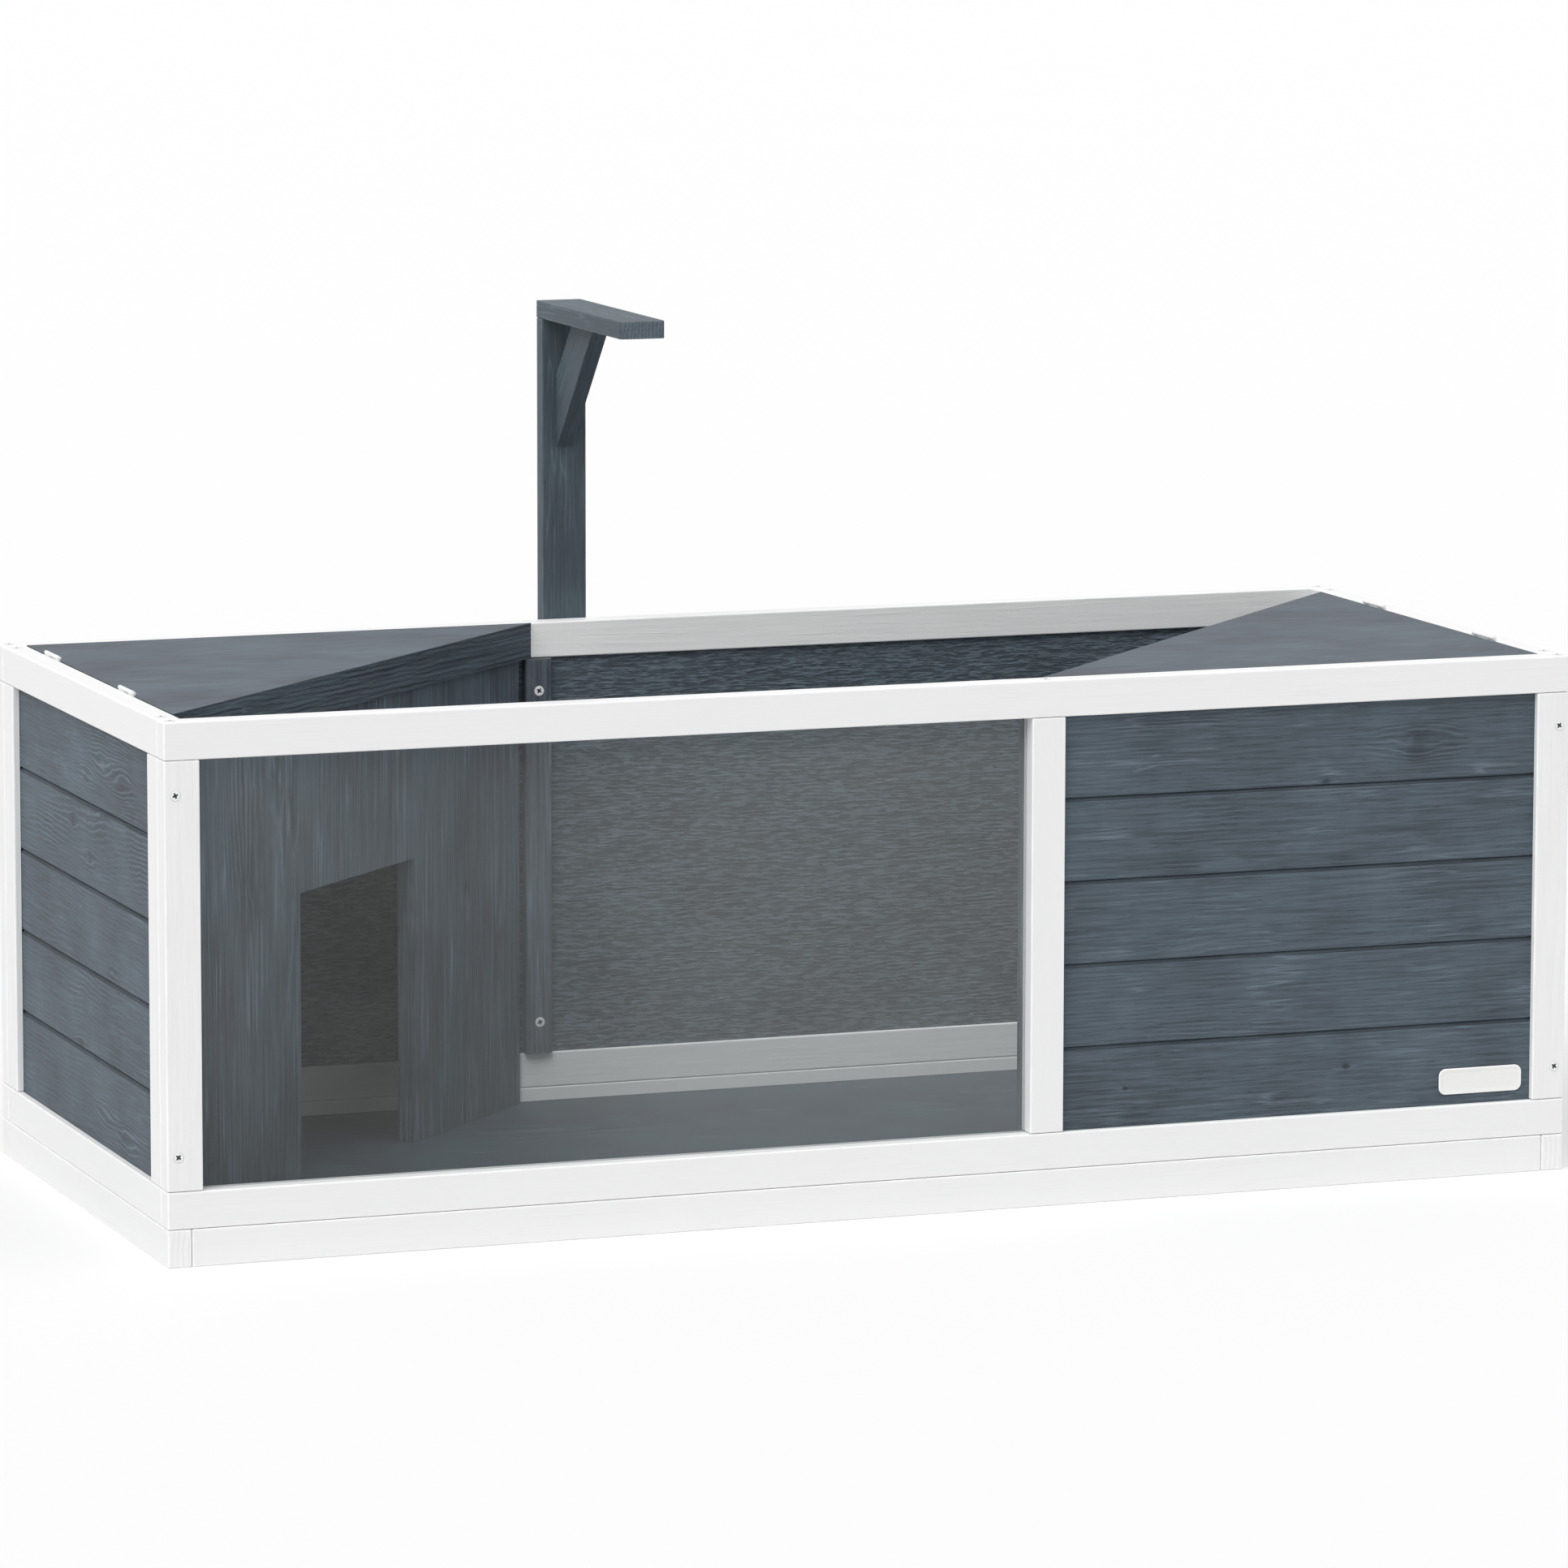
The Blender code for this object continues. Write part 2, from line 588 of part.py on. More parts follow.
def hide(side, way, seat, top_rail, shares):
    """A whole corner: way is -1 for the left one and +1 for the right, which is it turned half round."""
    turn = 0 if way < 0 else math.pi
    inner_x = way * (HOUSE_W / 2 - FRAME_T)
    inner_y = BACK_Y - FRAME_T if way < 0 else FRONT_Y + FRAME_T
    corner = marker(f"{side}_hide_corner", (inner_x, inner_y, 0), turn)
    hide_wall(side, corner)
    hide_cleat(side, seat, corner)
    axis_x = inner_x - way * HINGE_SEAM / 2
    axis = marker(f"{side}_lid_axis", (axis_x, inner_y, HOUSE_H + AXIS_RISE), turn)
    moving = lid(side, axis)
    hinge_edge = LID_BACK - LID_TIP
    for place_word, share in shares.items():
        hinge(f"{side}_{place_word}_hinge", LID_BACK - share * hinge_edge, axis, top_rail, moving)


# Lamp hanger, built from where its post's front face meets the arm's underside


def lamp_hanger(home):
    """A post on the back panel, an arm laid on its top and a brace on edge between them."""
    half = LAMP_W / 2
    post_foot = (-half, 0, RAIL_LOW - LAMP_TOP)
    block("lamp_post", post_foot, (half, LAMP_T, 0), home, "lamp_timber", TIMBER_EASE)
    plan = round_nosed_plan(-half, half, LAMP_T - ARM_L, LAMP_T, ARM_ROUND)
    prism("lamp_arm", plan, JOINT_GAP, JOINT_GAP + LAMP_T, "Z", home, "lamp_timber", TIMBER_EASE)
    slope = math.atan2(BRACE_DROP, BRACE_REACH)
    inner_reach = BRACE_REACH - BRACE_W / math.sin(slope)
    inner_drop = BRACE_DROP - BRACE_W / math.cos(slope)
    outline = [
        (-JOINT_GAP, -BRACE_DROP), (-JOINT_GAP, -inner_drop),
        (-inner_reach, 0), (-BRACE_REACH, 0),
    ]
    prism("lamp_brace", outline, -LAMP_T / 2, LAMP_T / 2, "X", home, "lamp_timber", TIMBER_EASE)


def tortoise_house():
    ground = marker("house_origin", (0, 0, 0))
    plinth(ground)
    side_low = FRAME_T + JOINT_GAP
    front_panel(marker("front_panel_corner", (-HOUSE_W / 2, FRONT_Y, 0)))
    back_panel(marker("back_panel_corner", (HOUSE_W / 2, BACK_Y, 0), math.pi))
    left_corner = marker("left_panel_corner", (-HOUSE_W / 2, BACK_Y - side_low, 0), -math.pi / 2)
    left_top = side_panel("left", left_corner, ("back", "front"))
    right_corner = marker("right_panel_corner", (HOUSE_W / 2, FRONT_Y + side_low, 0), math.pi / 2)
    right_top = side_panel("right", right_corner, ("front", "back"))
    board_recess = FRAME_T - BOARD_SETBACK - BOARD_T
    hide("left", -1, board_recess, left_top, LEFT_HINGE_SHARES)
    hide("right", 1, 0, right_top, RIGHT_HINGE_SHARES)
    lamp_hanger(marker("lamp_hanger_corner", (LAMP_X, BACK_Y + JOINT_GAP, LAMP_TOP)))


tortoise_house()
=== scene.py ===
"""The tortoise house's finishes: painted and stained timber, the clear pane, zinc hinges and screws, and the
bare plate on the lowest front board, in a pale studio. Lengths are in metres, in the house's own frame: X
along the front from left to right, Y from the front to the back, Z up."""

import math

import bpy
import numpy as np
from mathutils import Matrix, Vector


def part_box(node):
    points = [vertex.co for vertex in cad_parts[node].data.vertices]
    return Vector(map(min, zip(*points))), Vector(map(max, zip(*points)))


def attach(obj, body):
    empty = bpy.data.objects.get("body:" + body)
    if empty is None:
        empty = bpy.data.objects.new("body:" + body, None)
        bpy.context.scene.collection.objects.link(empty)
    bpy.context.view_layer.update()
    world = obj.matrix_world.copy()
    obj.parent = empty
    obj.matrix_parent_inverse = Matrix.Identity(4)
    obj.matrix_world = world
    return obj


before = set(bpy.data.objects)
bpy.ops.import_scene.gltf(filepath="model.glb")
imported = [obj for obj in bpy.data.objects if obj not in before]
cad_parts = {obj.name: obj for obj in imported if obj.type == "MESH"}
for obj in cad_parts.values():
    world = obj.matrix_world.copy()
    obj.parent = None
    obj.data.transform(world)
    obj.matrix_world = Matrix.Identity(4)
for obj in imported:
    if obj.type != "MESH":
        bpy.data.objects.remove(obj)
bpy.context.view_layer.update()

X = Vector((1.0, 0.0, 0.0))
Y = Vector((0.0, 1.0, 0.0))
Z = Vector((0.0, 0.0, 1.0))
LEFT_HIDE_OUT = (X - Y).normalized()
SIDES = ("left", "right")
BOARD_ROWS = range(1, 6)

# Camera, solved from the edges of the frame
CAMERA_PLACE = (-1.923, -5.24818, 1.09069)
CAMERA_FORWARD = Vector((0.34116, 0.92855, -0.14632))
CAMERA_ROLL = 0.00183
CAMERA_LENS_MM = 187.74
SENSOR_MM = 36.0

# Studio. The floor has one tone for the light it sends back, and another with a glow where it is seen.
FLOOR_REACH = 60.0
FLOOR_TONE = 0.80
FLOOR_SEEN_TONE = 0.42
FLOOR_SEEN_GLOW = 0.49
FLOOR_CLOUDS = ((1.3, 1.3, 1.3), 2.0)
FLOOR_CLOUD_SHARE = 0.01
FLOOR_ROUGHNESS = 0.9
FLOOR_SHINE = 0.1
SKY_STRENGTH = 0.38
KEY_STRENGTH = 2.50
KEY_ANGLE = math.radians(50.0)
KEY_FROM = Vector((-0.51, -0.365, 0.779))
FILL_STRENGTH = 0.55
FILL_ANGLE = math.radians(60.0)
FILL_FROM = Vector((0.42, -0.30, 0.86))

# Sockets of the Mix node, whose names repeat
MIX_SHARE = 0
MIX_FIRST = 6
MIX_SECOND = 7
MIX_RESULT = 2


def operator(name, reflected=False):
    """An arithmetic method that adds one Math node, with its two values swapped for the reflected form."""

    def apply(self, other):
        pair = (other, self) if reflected else (self, other)
        return self.finish.math(name, *pair)

    return apply


class Field:
    """A value that varies over a surface. Plain arithmetic on it adds the nodes that work it out."""

    def __init__(self, finish, socket):
        self.finish = finish
        self.socket = socket

    __add__ = operator("ADD")
    __radd__ = operator("ADD", reflected=True)
    __sub__ = operator("SUBTRACT")
    __rsub__ = operator("SUBTRACT", reflected=True)
    __mul__ = operator("MULTIPLY")
    __rmul__ = operator("MULTIPLY", reflected=True)
    __truediv__ = operator("DIVIDE")
    __rtruediv__ = operator("DIVIDE", reflected=True)
    __pow__ = operator("POWER")

    def __abs__(self):
        return self.finish.math("ABSOLUTE", self)


class Finish:
    """The nodes of one material, or of the sky, as they are put together."""

    def __init__(self, holder):
        self.holder = holder
        holder.use_nodes = True
        self.tree = holder.node_tree
        self.tree.nodes.clear()

    def node(self, kind, settings=None, sockets=None):
        """Adds a node of that type: its settings first, then the value or link of each socket."""
        made = self.tree.nodes.new(kind)
        for name, value in (settings or {}).items():
            setattr(made, name, value)
        for key, value in (sockets or {}).items():
            if isinstance(value, Field):
                self.tree.links.new(value.socket, made.inputs[key])
            else:
                made.inputs[key].default_value = value
        return made

    def field(self, kind, settings=None, sockets=None, output=0):
        return Field(self, self.node(kind, settings, sockets).outputs[output])

    def math(self, operation, *values):
        return self.field("ShaderNodeMath", {"operation": operation}, dict(enumerate(values)))

    def most(self, *values):
        """The greatest of several values."""
        highest = values[0]
        for value in values[1:]:
            highest = self.math("MAXIMUM", highest, value)
        return highest

    def vector(self, operation, first, second):
        return self.field("ShaderNodeVectorMath", {"operation": operation}, {0: first, 1: second})

    def scaled(self, vector, share):
        return self.field("ShaderNodeVectorMath", {"operation": "SCALE"}, {0: vector, "Scale": share})

    def mix(self, share, first, second):
        settings = {"data_type": "RGBA", "blend_type": "MIX"}
        sockets = {MIX_SHARE: share, MIX_FIRST: first, MIX_SECOND: second}
        return self.field("ShaderNodeMix", settings, sockets, MIX_RESULT)

    def smooth(self, value, none, full):
        """0 at none, 1 at full and a smooth turn between them, whichever of the two is greater."""
        settings = {"interpolation_type": "SMOOTHSTEP"}
        low, high = min(none, full), max(none, full)
        at_low, at_high = (0.0, 1.0) if none < full else (1.0, 0.0)
        sockets = {"Value": value, "From Min": low, "From Max": high, "To Min": at_low, "To Max": at_high}
        return self.field("ShaderNodeMapRange", settings, sockets)

    def object_place(self):
        return self.field("ShaderNodeTexCoord", output="Object")

    def split(self, vector):
        parts = self.node("ShaderNodeSeparateXYZ", sockets={0: vector})
        return [Field(self, part) for part in parts.outputs]

    def noise(self, place, per_metre, detail=2.0, roughness=0.5):
        """Cloudy noise, about 0.5 on average, with its own pitch along each direction of the place."""
        spread = self.vector("MULTIPLY", place, per_metre)
        sockets = {"Vector": spread, "Scale": 1.0, "Detail": detail, "Roughness": roughness}
        return self.field("ShaderNodeTexNoise", {}, sockets)

    def surface(self, sockets, relief=None):
        """One principled surface, with the relief as a height in metres."""
        if relief is not None:
            bump = {"Strength": 1.0, "Distance": 1.0, "Height": relief}
            sockets = sockets | {"Normal": self.field("ShaderNodeBump", {}, bump)}
        return self.field("ShaderNodeBsdfPrincipled", {}, sockets)

    def end(self, shader, kind="ShaderNodeOutputMaterial"):
        self.node(kind, {}, {"Surface": shader})
        return self.holder


def new_finish(name):
    return Finish(bpy.data.materials.new(name))


def colour(red, green, blue):
    return (red, green, blue, 1.0)


def dress(node, material):
    """Gives a node's solid its finish."""
    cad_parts[node].material_slots[0].material = material


# Timber. Shares are of the coat's lightness, and relief is the height of its grain. A pitch of three numbers
# is the noise's cells per metre along the grain, across it and out of the face.

SLATE = {
    "name": "slate_stain",
    "light": (0.0757, 0.0986, 0.1194),
    "dark": (0.0778, 0.0979, 0.1191),
    "bare": (0.17, 0.19, 0.20),
    "fibre": 0.46,
    "fibre_pitch": (22.0, 640.0, 640.0),
    "line": 0.50,
    "line_pitch": (9.0, 210.0, 210.0),
    "ring": 0.60,
    "ring_pitch": 0.0027,
    "ring_reach": 0.06,
    "end_ring": 0.25,
    "end_light": 0.0,
    "brush": 0.0,
    "patch": 0.85,
    "patch_pitch": (17.0, 14.0, 14.0),
    "fleck": 0.20,
    "pith_aside": (0.050, 0.110),
    "pith_deep": 0.045,
    "bend": 0.010,
    "taper": 0.03,
    "wear": 0.45,
    "wear_reach": 0.0020,
    "roughness": 0.56,
    "shine": 0.20,
    "relief": 0.00026,
}
FIGURED_SLATE = SLATE | {
    "name": "figured_slate_stain",
    "fibre": 0.55,
    "ring": 0.80,
    "ring_pitch": 0.0028,
    "ring_reach": 0.04,
    "bend": 0.020,
    "line": 0.34,
    "patch": 0.95,
    "patch_pitch": (15.0, 12.0, 12.0),
}
BRUSHED_SLATE = SLATE | {
    "name": "brushed_slate_stain",
    "light": (0.094, 0.122, 0.143),
    "dark": (0.098, 0.119, 0.143),
    "fibre": 0.30,
    "line": 0.12,
    "ring": 0.10,
    "brush": 0.60,
    "brush_pitch": (110.0, 640.0, 640.0),
    "patch": 0.35,
    "relief": 0.00036,
}
WALL_SLATE = SLATE | {
    "name": "hide_wall_stain",
    "light": (0.096, 0.121, 0.145),
    "dark": (0.102, 0.118, 0.143),
    "fibre": 0.50,
    "fibre_pitch": (13.0, 430.0, 430.0),
    "line": 0.80,
    "line_pitch": (3.0, 150.0, 150.0),
    "ring": 0.70,
    "ring_pitch": 0.0034,
    "ring_reach": 0.08,
    "bend": 0.006,
    "patch": 1.15,
    "patch_pitch": (10.0, 17.0, 17.0),
}
BATTEN_SLATE = SLATE | {
    "name": "batten_stain",
    "light": (0.063, 0.086, 0.104),
    "dark": (0.068, 0.083, 0.103),
    "ring": 0.35,
    "ring_pitch": 0.0026,
    "bend": 0.005,
    "patch": 0.55,
    "pith_deep": 0.090,
}
HANGER_SLATE = BATTEN_SLATE | {
    "name": "lamp_hanger_stain",
    "light": (0.067, 0.091, 0.108),
    "dark": (0.071, 0.089, 0.107),
    "fibre": 0.34,
    "ring": 0.25,
    "patch": 0.35,
    "pith_aside": (0.0, 0.010),
    "pith_deep": 0.140,
    "end_ring": 0.45,
    "end_light": 0.42,
}
FASCIA_SLATE = BATTEN_SLATE | {
    "name": "fascia_stain",
    "fibre": 0.80,
    "fibre_pitch": (9.0, 460.0, 460.0),
    "ring": -0.60,
    "ring_reach": 0.30,
    "pith_aside": (0.120, 0.160),
    "bend": 0.007,
    "wear": 0.0,
}
LID_SLATE = SLATE | {
    "name": "lid_stain",
    "light": (0.0775, 0.0980, 0.1182),
    "dark": (0.0820, 0.0970, 0.1198),
    "fibre": 0.60,
    "fibre_pitch": (34.0, 260.0, 260.0),
    "line": 0.20,
    "ring": 0.06,
    "fleck": 0.10,
    "patch": 1.05,
    "patch_pitch": (11.0, 15.0, 15.0),
    "relief": 0.00008,
    "roughness": 0.58,
    "shine": 0.16,
}
WHITE = SLATE | {
    "name": "white_paint",
    "light": (0.822, 0.824, 0.824),
    "dark": (0.820, 0.821, 0.823),
    # On white paint the bare colour is a painted highlight along the arrises, lighter than the paint.
    "bare": (0.93, 0.93, 0.93),
    "fibre": 0.008,
    "line": -0.016,
    "line_pitch": (3.0, 170.0, 170.0),
    "ring": -0.012,
    "ring_pitch": 0.0040,
    "end_ring": -0.09,
    "patch": 0.010,
    "fleck": 0.005,
    "pith_aside": (0.0, 0.012),
    "pith_deep": 0.090,
    "wear": 0.90,
    "roughness": 0.42,
    "shine": 0.40,
    "relief": 0.00005,
}
STREAKED_WHITE = WHITE | {
    "name": "streaked_white_paint",
    "fibre": 0.04,
    "fibre_pitch": (14.0, 330.0, 330.0),
    "relief": 0.00010,
}

# Height of one board's face up to the next. Then the tone painted round a V joint: painted light on the
# upper slope against its own shade, and painted shade on the lit lower slope and the lip below it. It is
# given as heights above the joint, going down: where each tone starts, and the tone. Last, half the height of
# the turn from one tone to the next.
BOARD_COVER = 0.0567
V_PAINTED_LIGHT_AND_SHADE = (
    (0.00145, 1.50),
    (0.0007, 1.25),
    (0.0, 0.52),
    (-0.0017, 0.45),
    (-0.0025, 1.06),
    (-0.0034, 1.0),
)
V_TURN = 0.00018

# Knots and figure in the grain as (along it, across it, half length, half width, darkness of the heart), in
# each piece's own grain directions
KNOTS = {
    "front_board_5": ((0.3890, 0.3040, 0.0085, 0.0120, 0.30), (0.3205, 0.2800, 0.0035, 0.0025, 0.45)),
    "front_board_1": ((0.3369, 0.0814, 0.0030, 0.0022, 0.55), (0.1741, 0.0763, 0.0022, 0.0016, 0.50)),
    "left_board_5": (
        (0.0470, 0.3090, 0.0100, 0.0050, 0.0),
        (0.0970, 0.3030, 0.0120, 0.0060, 0.0),
        (0.0100, 0.2960, 0.0070, 0.0050, 0.25),
    ),
    "left_board_4": ((0.0140, 0.2390, 0.0040, 0.0060, 0.35), (-0.0270, 0.2600, 0.0030, 0.0050, 0.30)),
    "left_board_3": ((0.0720, 0.1710, 0.0030, 0.0030, 0.35),),
    "left_board_2": ((-0.0120, 0.1100, 0.0040, 0.0040, 0.25),),
    "left_board_1": ((0.0500, 0.0720, 0.0110, 0.0050, 0.0), (0.1050, 0.0640, 0.0120, 0.0050, 0.0)),
    "right_board_4": ((0.0700, 0.2500, 0.0050, 0.0040, 0.45),),
    "right_board_1": ((-0.0900, 0.0800, 0.0045, 0.0036, 0.45),),
    "left_hide_wall": (
        (0.2694, 0.2982, 0.0120, 0.0035, 0.40),
        (0.2281, 0.3657, 0.0100, 0.0035, 0.35),
        (0.2960, 0.3206, 0.0080, 0.0030, 0.30),
        (0.1845, 0.0422, 0.0035, 0.0025, 0.45),
    ),
    "right_hide_wall": ((0.2500, -0.1500, 0.0080, 0.0040, 0.40),),
    "lamp_post": ((0.2200, 0.0800, 0.0040, 0.0030, 0.35),),
}

# How far the grain spreads apart round a knot, and how far along the stem that reaches. Then the knot's
# heart: where it starts and is full, as shares of its size, and how far its outline strays.
KNOT_SPREAD = 0.75
KNOT_STRETCH = 2.2
HEART_TURN = (1.6, 0.2)
HEART_WOBBLE = 2.2
HEART_BEND = 2.0

# Growth rings: the noise of their slow bend and of their fine unevenness, the reach of the fine one, and the
# depth of the pith line as shares of the coat's own. Last, how far a piece's own place in the noise is drawn.
BEND_NOISE = ((7.0, 16.0, 16.0), 1.5)
WOBBLE_NOISE = ((55.0, 75.0, 75.0), 2.0)
WOBBLE = 0.0032
PITH_DEEP_SHARES = (0.7, 1.4)
GRAIN_SHIFT = 9.0

# How sharply a ring peaks, its mean, its least strength, and how near a knot it starts and is full
RING_SHARPNESS = 3.0
RING_MEAN = 0.25
RING_LEAST = 0.2
NEAR_KNOT = (0.04, 0.45)

# Marks along the grain: their pitch where all coats share it, the noise at which they start and are full,
# and its detail. Then the roughness of that noise, and the lines' and patches' own.
FIBRES = (0.30, 0.70, 4.0)
BRUSH_MARKS = (0.40, 0.64, 1.5)
FLECKS = ((110.0, 1100.0, 1100.0), 0.62, 0.76, 1.0)
LINE_STRETCHES = ((16.0, 30.0, 30.0), 0.44, 0.62, 2.0)
RING_STRETCHES = ((5.0, 13.0, 13.0), 0.60, 0.74, 1.0)
WEAR_AND_HIGHLIGHT_STRETCHES = ((55.0, 160.0, 160.0), 0.42, 0.66, 3.0)
MARK_ROUGHNESS = 0.6
LINE_DETAIL = 1.5
LINE_HALF_WIDTH = 0.040
PATCH_NOISE = (3.0, 0.55)

# The marks' shares of the relief and of the roughness
RELIEF_SHARES = {"fibre": 0.4, "line": 0.6, "ring": 0.8, "fleck": 0.5, "brush": 0.9}
ROUGH_SHARES = {"fibre": 0.10, "ring": 0.05, "wear_and_highlight_share": 0.1}

# How tightly end grain keeps to the ends, and its rings' mean. The patches at which the hue is all light and
# all dark, and the least share of an arris's wear and painted highlight.
END_TIGHTNESS = 6.0
END_RING_MEAN = 0.3
HUE_TURN = (0.14, -0.14)
LEAST_WEAR_AND_HIGHLIGHT = 0.35


def grain_axes(along, face):
    """The rows that turn a place into (along the grain, across it, out of the face)."""
    along = Vector(along).normalized()
    face = Vector(face).normalized()
    return Matrix((along, face.cross(along), face))


def reach_along(node, axes):
    """The middle and half size of a node's solid, measured along three axes."""
    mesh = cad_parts[node].data
    points = np.empty(len(mesh.vertices) * 3)
    mesh.vertices.foreach_get("co", points)
    turned = points.reshape(-1, 3) @ np.array(axes).T
    low = turned.min(0)
    high = turned.max(0)
    return ((low + high) / 2).tolist(), ((high - low) / 2).tolist()


def growth_shell(finish, own, place, middle, tone, draw, knots):
    """The distance from a pith line behind the piece, bent by slow noise, tapered along the stem and spread
    apart round each knot. Also how near the knots are, and their dark hearts."""
    u, v, w = place
    pith_side = draw.choice((-1.0, 1.0))
    pith_v = middle[1] + draw.uniform(*tone["pith_aside"]) * pith_side
    pith_w = middle[2] - draw.uniform(*PITH_DEEP_SHARES) * tone["pith_deep"]
    bend = finish.noise(own, *BEND_NOISE) - 0.5
    wobble = finish.noise(own, *WOBBLE_NOISE) - 0.5
    from_v = v - pith_v
    from_w = w - pith_w
    shell = finish.math("SQRT", from_v * from_v + from_w * from_w)
    shell = shell + bend * tone["bend"] + wobble * WOBBLE
    shell = shell + u * (draw.uniform(-1.0, 1.0) * tone["taper"])
    near = []
    hearts = []
    for knot_u, knot_v, half_u, half_v, darkness in knots:
        radius = math.sqrt(half_u * half_v)
        du = u - knot_u
        dv = v - knot_v
        far_u = du * (1.0 / (KNOT_STRETCH * radius))
        far_v = dv * (1.0 / radius)
        bell = finish.math("EXPONENT", (far_u * far_u + far_v * far_v) * -0.5)
        shell = shell + dv * bell * (KNOT_SPREAD * pith_side)
        near.append(bell)
        heart_u = du * (1.0 / half_u) + wobble * HEART_WOBBLE
        heart_v = dv * (1.0 / half_v) + bend * HEART_BEND
        away = finish.math("SQRT", heart_u * heart_u + heart_v * heart_v)
        hearts.append(finish.smooth(away, *HEART_TURN) * darkness)
    return shell, near, hearts


def board_seams(node):
    """Heights of the V joints at a board's lower and upper edge, where another board meets it."""
    row = int(node[-1])
    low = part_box(node)[0][2]
    seams = []
    if row > BOARD_ROWS[0]:
        seams.append(low)
    if row < BOARD_ROWS[-1]:
        foot = low if row > BOARD_ROWS[0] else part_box(node.replace("_1", "_2"))[0][2] - BOARD_COVER
        seams.append(foot + BOARD_COVER)
    return seams


def joint_painted_light_and_shade(finish, above):
    """The tone painted round a V joint, by the height above it: painted light on the upper slope, which
    offsets its shade, painted shade on the lit lower slope and on the lip below that, and a little painted
    light under the lip."""
    tone = 1.0
    before = 1.0
    for start, after in V_PAINTED_LIGHT_AND_SHADE:
        tone = tone + finish.smooth(above, start + V_TURN, start - V_TURN) * (after - before)
        before = after
    return tone


def timber(finish, node, along, face, tone, seed):
    """The colour, roughness and relief of timber under paint or stain, at the node's place. Growth rings are
    shells round a pith line; fibres, lines and brush marks are noise stretched along the grain; the coat
    varies in patches, takes painted light and shade round the V joints, and wears where two faces meet, by
    the distance from both, with a painted highlight there."""
    draw = np.random.default_rng(seed)
    axes = grain_axes(along, face)
    middle, half = reach_along(node, axes)
    turn = {"Vector": finish.object_place(), "Rotation": axes.to_euler()}
    turned = finish.field("ShaderNodeMapping", {"vector_type": "POINT"}, turn)
    place = finish.split(turned)
    own = finish.vector("ADD", turned, tuple(draw.uniform(-GRAIN_SHIFT, GRAIN_SHIFT, 3)))
    shell, near, hearts = growth_shell(finish, own, place, middle, tone, draw, KNOTS.get(node, ()))
    phase = finish.math("FRACT", shell / tone["ring_pitch"])
    ring = (1.0 - abs(phase * 2.0 - 1.0)) ** RING_SHARPNESS

    def marks(pitch, start, full, detail):
        return finish.smooth(finish.noise(own, pitch, detail, MARK_ROUGHNESS), start, full)

    fibre = marks(tone["fibre_pitch"], *FIBRES) - 0.5
    patch = finish.noise(own, tone["patch_pitch"], *PATCH_NOISE) - 0.5
    fleck = marks(*FLECKS)
    ridge = abs(finish.noise(own, tone["line_pitch"], LINE_DETAIL) - 0.5)
    line = finish.smooth(ridge, LINE_HALF_WIDTH, 0.0) * marks(*LINE_STRETCHES)
    pitch, start, full, detail = RING_STRETCHES
    zones = marks(pitch, start - tone["ring_reach"], full - tone["ring_reach"], detail)
    round_knots = [finish.smooth(bell, *NEAR_KNOT) for bell in near]
    shows = finish.most(zones * (1.0 - RING_LEAST) + RING_LEAST, *round_knots)
    ring_line = (ring - RING_MEAN) * shows
    light = 1.0 + fibre * tone["fibre"] + patch * tone["patch"] + line * tone["line"]
    light = light + ring_line * tone["ring"] - fleck * tone["fleck"]
    relief = fibre * RELIEF_SHARES["fibre"] + line * RELIEF_SHARES["line"]
    relief = relief + ring_line * RELIEF_SHARES["ring"] - fleck * RELIEF_SHARES["fleck"]
    if tone["brush"]:
        brush = marks(tone["brush_pitch"], *BRUSH_MARKS) - 0.5
        light = light + brush * tone["brush"]
        relief = relief + brush * RELIEF_SHARES["brush"]
    if hearts:
        light = light * (1.0 - finish.most(*hearts))

    edges = []
    for position, centre, size in zip(place, middle, half):
        inside = size - abs(position - centre)
        edges.append(finish.smooth(inside, tone["wear_reach"], 0.0))
    end_grain = (ring - END_RING_MEAN) * tone["end_ring"] + tone["end_light"]
    light = light + edges[0] ** END_TIGHTNESS * end_grain
    # Painted light and shade round the V joints: the shaded upper slope is lightened, and the lit lower slope
    # and the lip below it are darkened.
    if "_board_" in node:
        for seam in board_seams(node):
            light = light * joint_painted_light_and_shade(finish, place[1] - seam)
    hue = finish.smooth(patch, *HUE_TURN)
    coat = finish.scaled(finish.mix(hue, colour(*tone["light"]), colour(*tone["dark"])), light)
    # Where two faces meet the coat turns to the bare colour: partly wear, and partly a painted highlight
    # along the arris, strongest on white paint.
    arris = finish.most(edges[0] * edges[1], edges[1] * edges[2], edges[0] * edges[2])
    wear_and_highlight_share = arris * (LEAST_WEAR_AND_HIGHLIGHT + marks(*WEAR_AND_HIGHLIGHT_STRETCHES) * (1.0 - LEAST_WEAR_AND_HIGHLIGHT)) * tone["wear"]
    coat = finish.mix(wear_and_highlight_share, coat, colour(*tone["bare"]))
    roughness = tone["roughness"] + fibre * ROUGH_SHARES["fibre"]
    roughness = roughness - ring_line * ROUGH_SHARES["ring"] + wear_and_highlight_share * ROUGH_SHARES["wear_and_highlight_share"]
    return coat, roughness, relief * tone["relief"]


def coat_timber(node, along, face, tone, seed):
    """Gives one timber node its finish."""
    finish = new_finish(f"{tone['name']}_{node}")
    coat, roughness, relief = timber(finish, node, along, face, tone, seed)
    sockets = {"Base Color": coat, "Roughness": roughness, "Specular IOR Level": tone["shine"]}
    dress(node, finish.end(finish.surface(sockets, relief)))


# Depth below a lid's top at which its top finish starts to turn into its edge finish, and is all edge finish
LID_EDGE_TURN = (0.0002, 0.0005)

# The draws of each lid's grain: the batten's, and the next number for the panel
LID_SEEDS = {"left": 101, "right": 201}

# The way the brace runs, from the post up to the arm
BRACE_SLOPE = Vector((0.0, -0.0814, 0.0912))


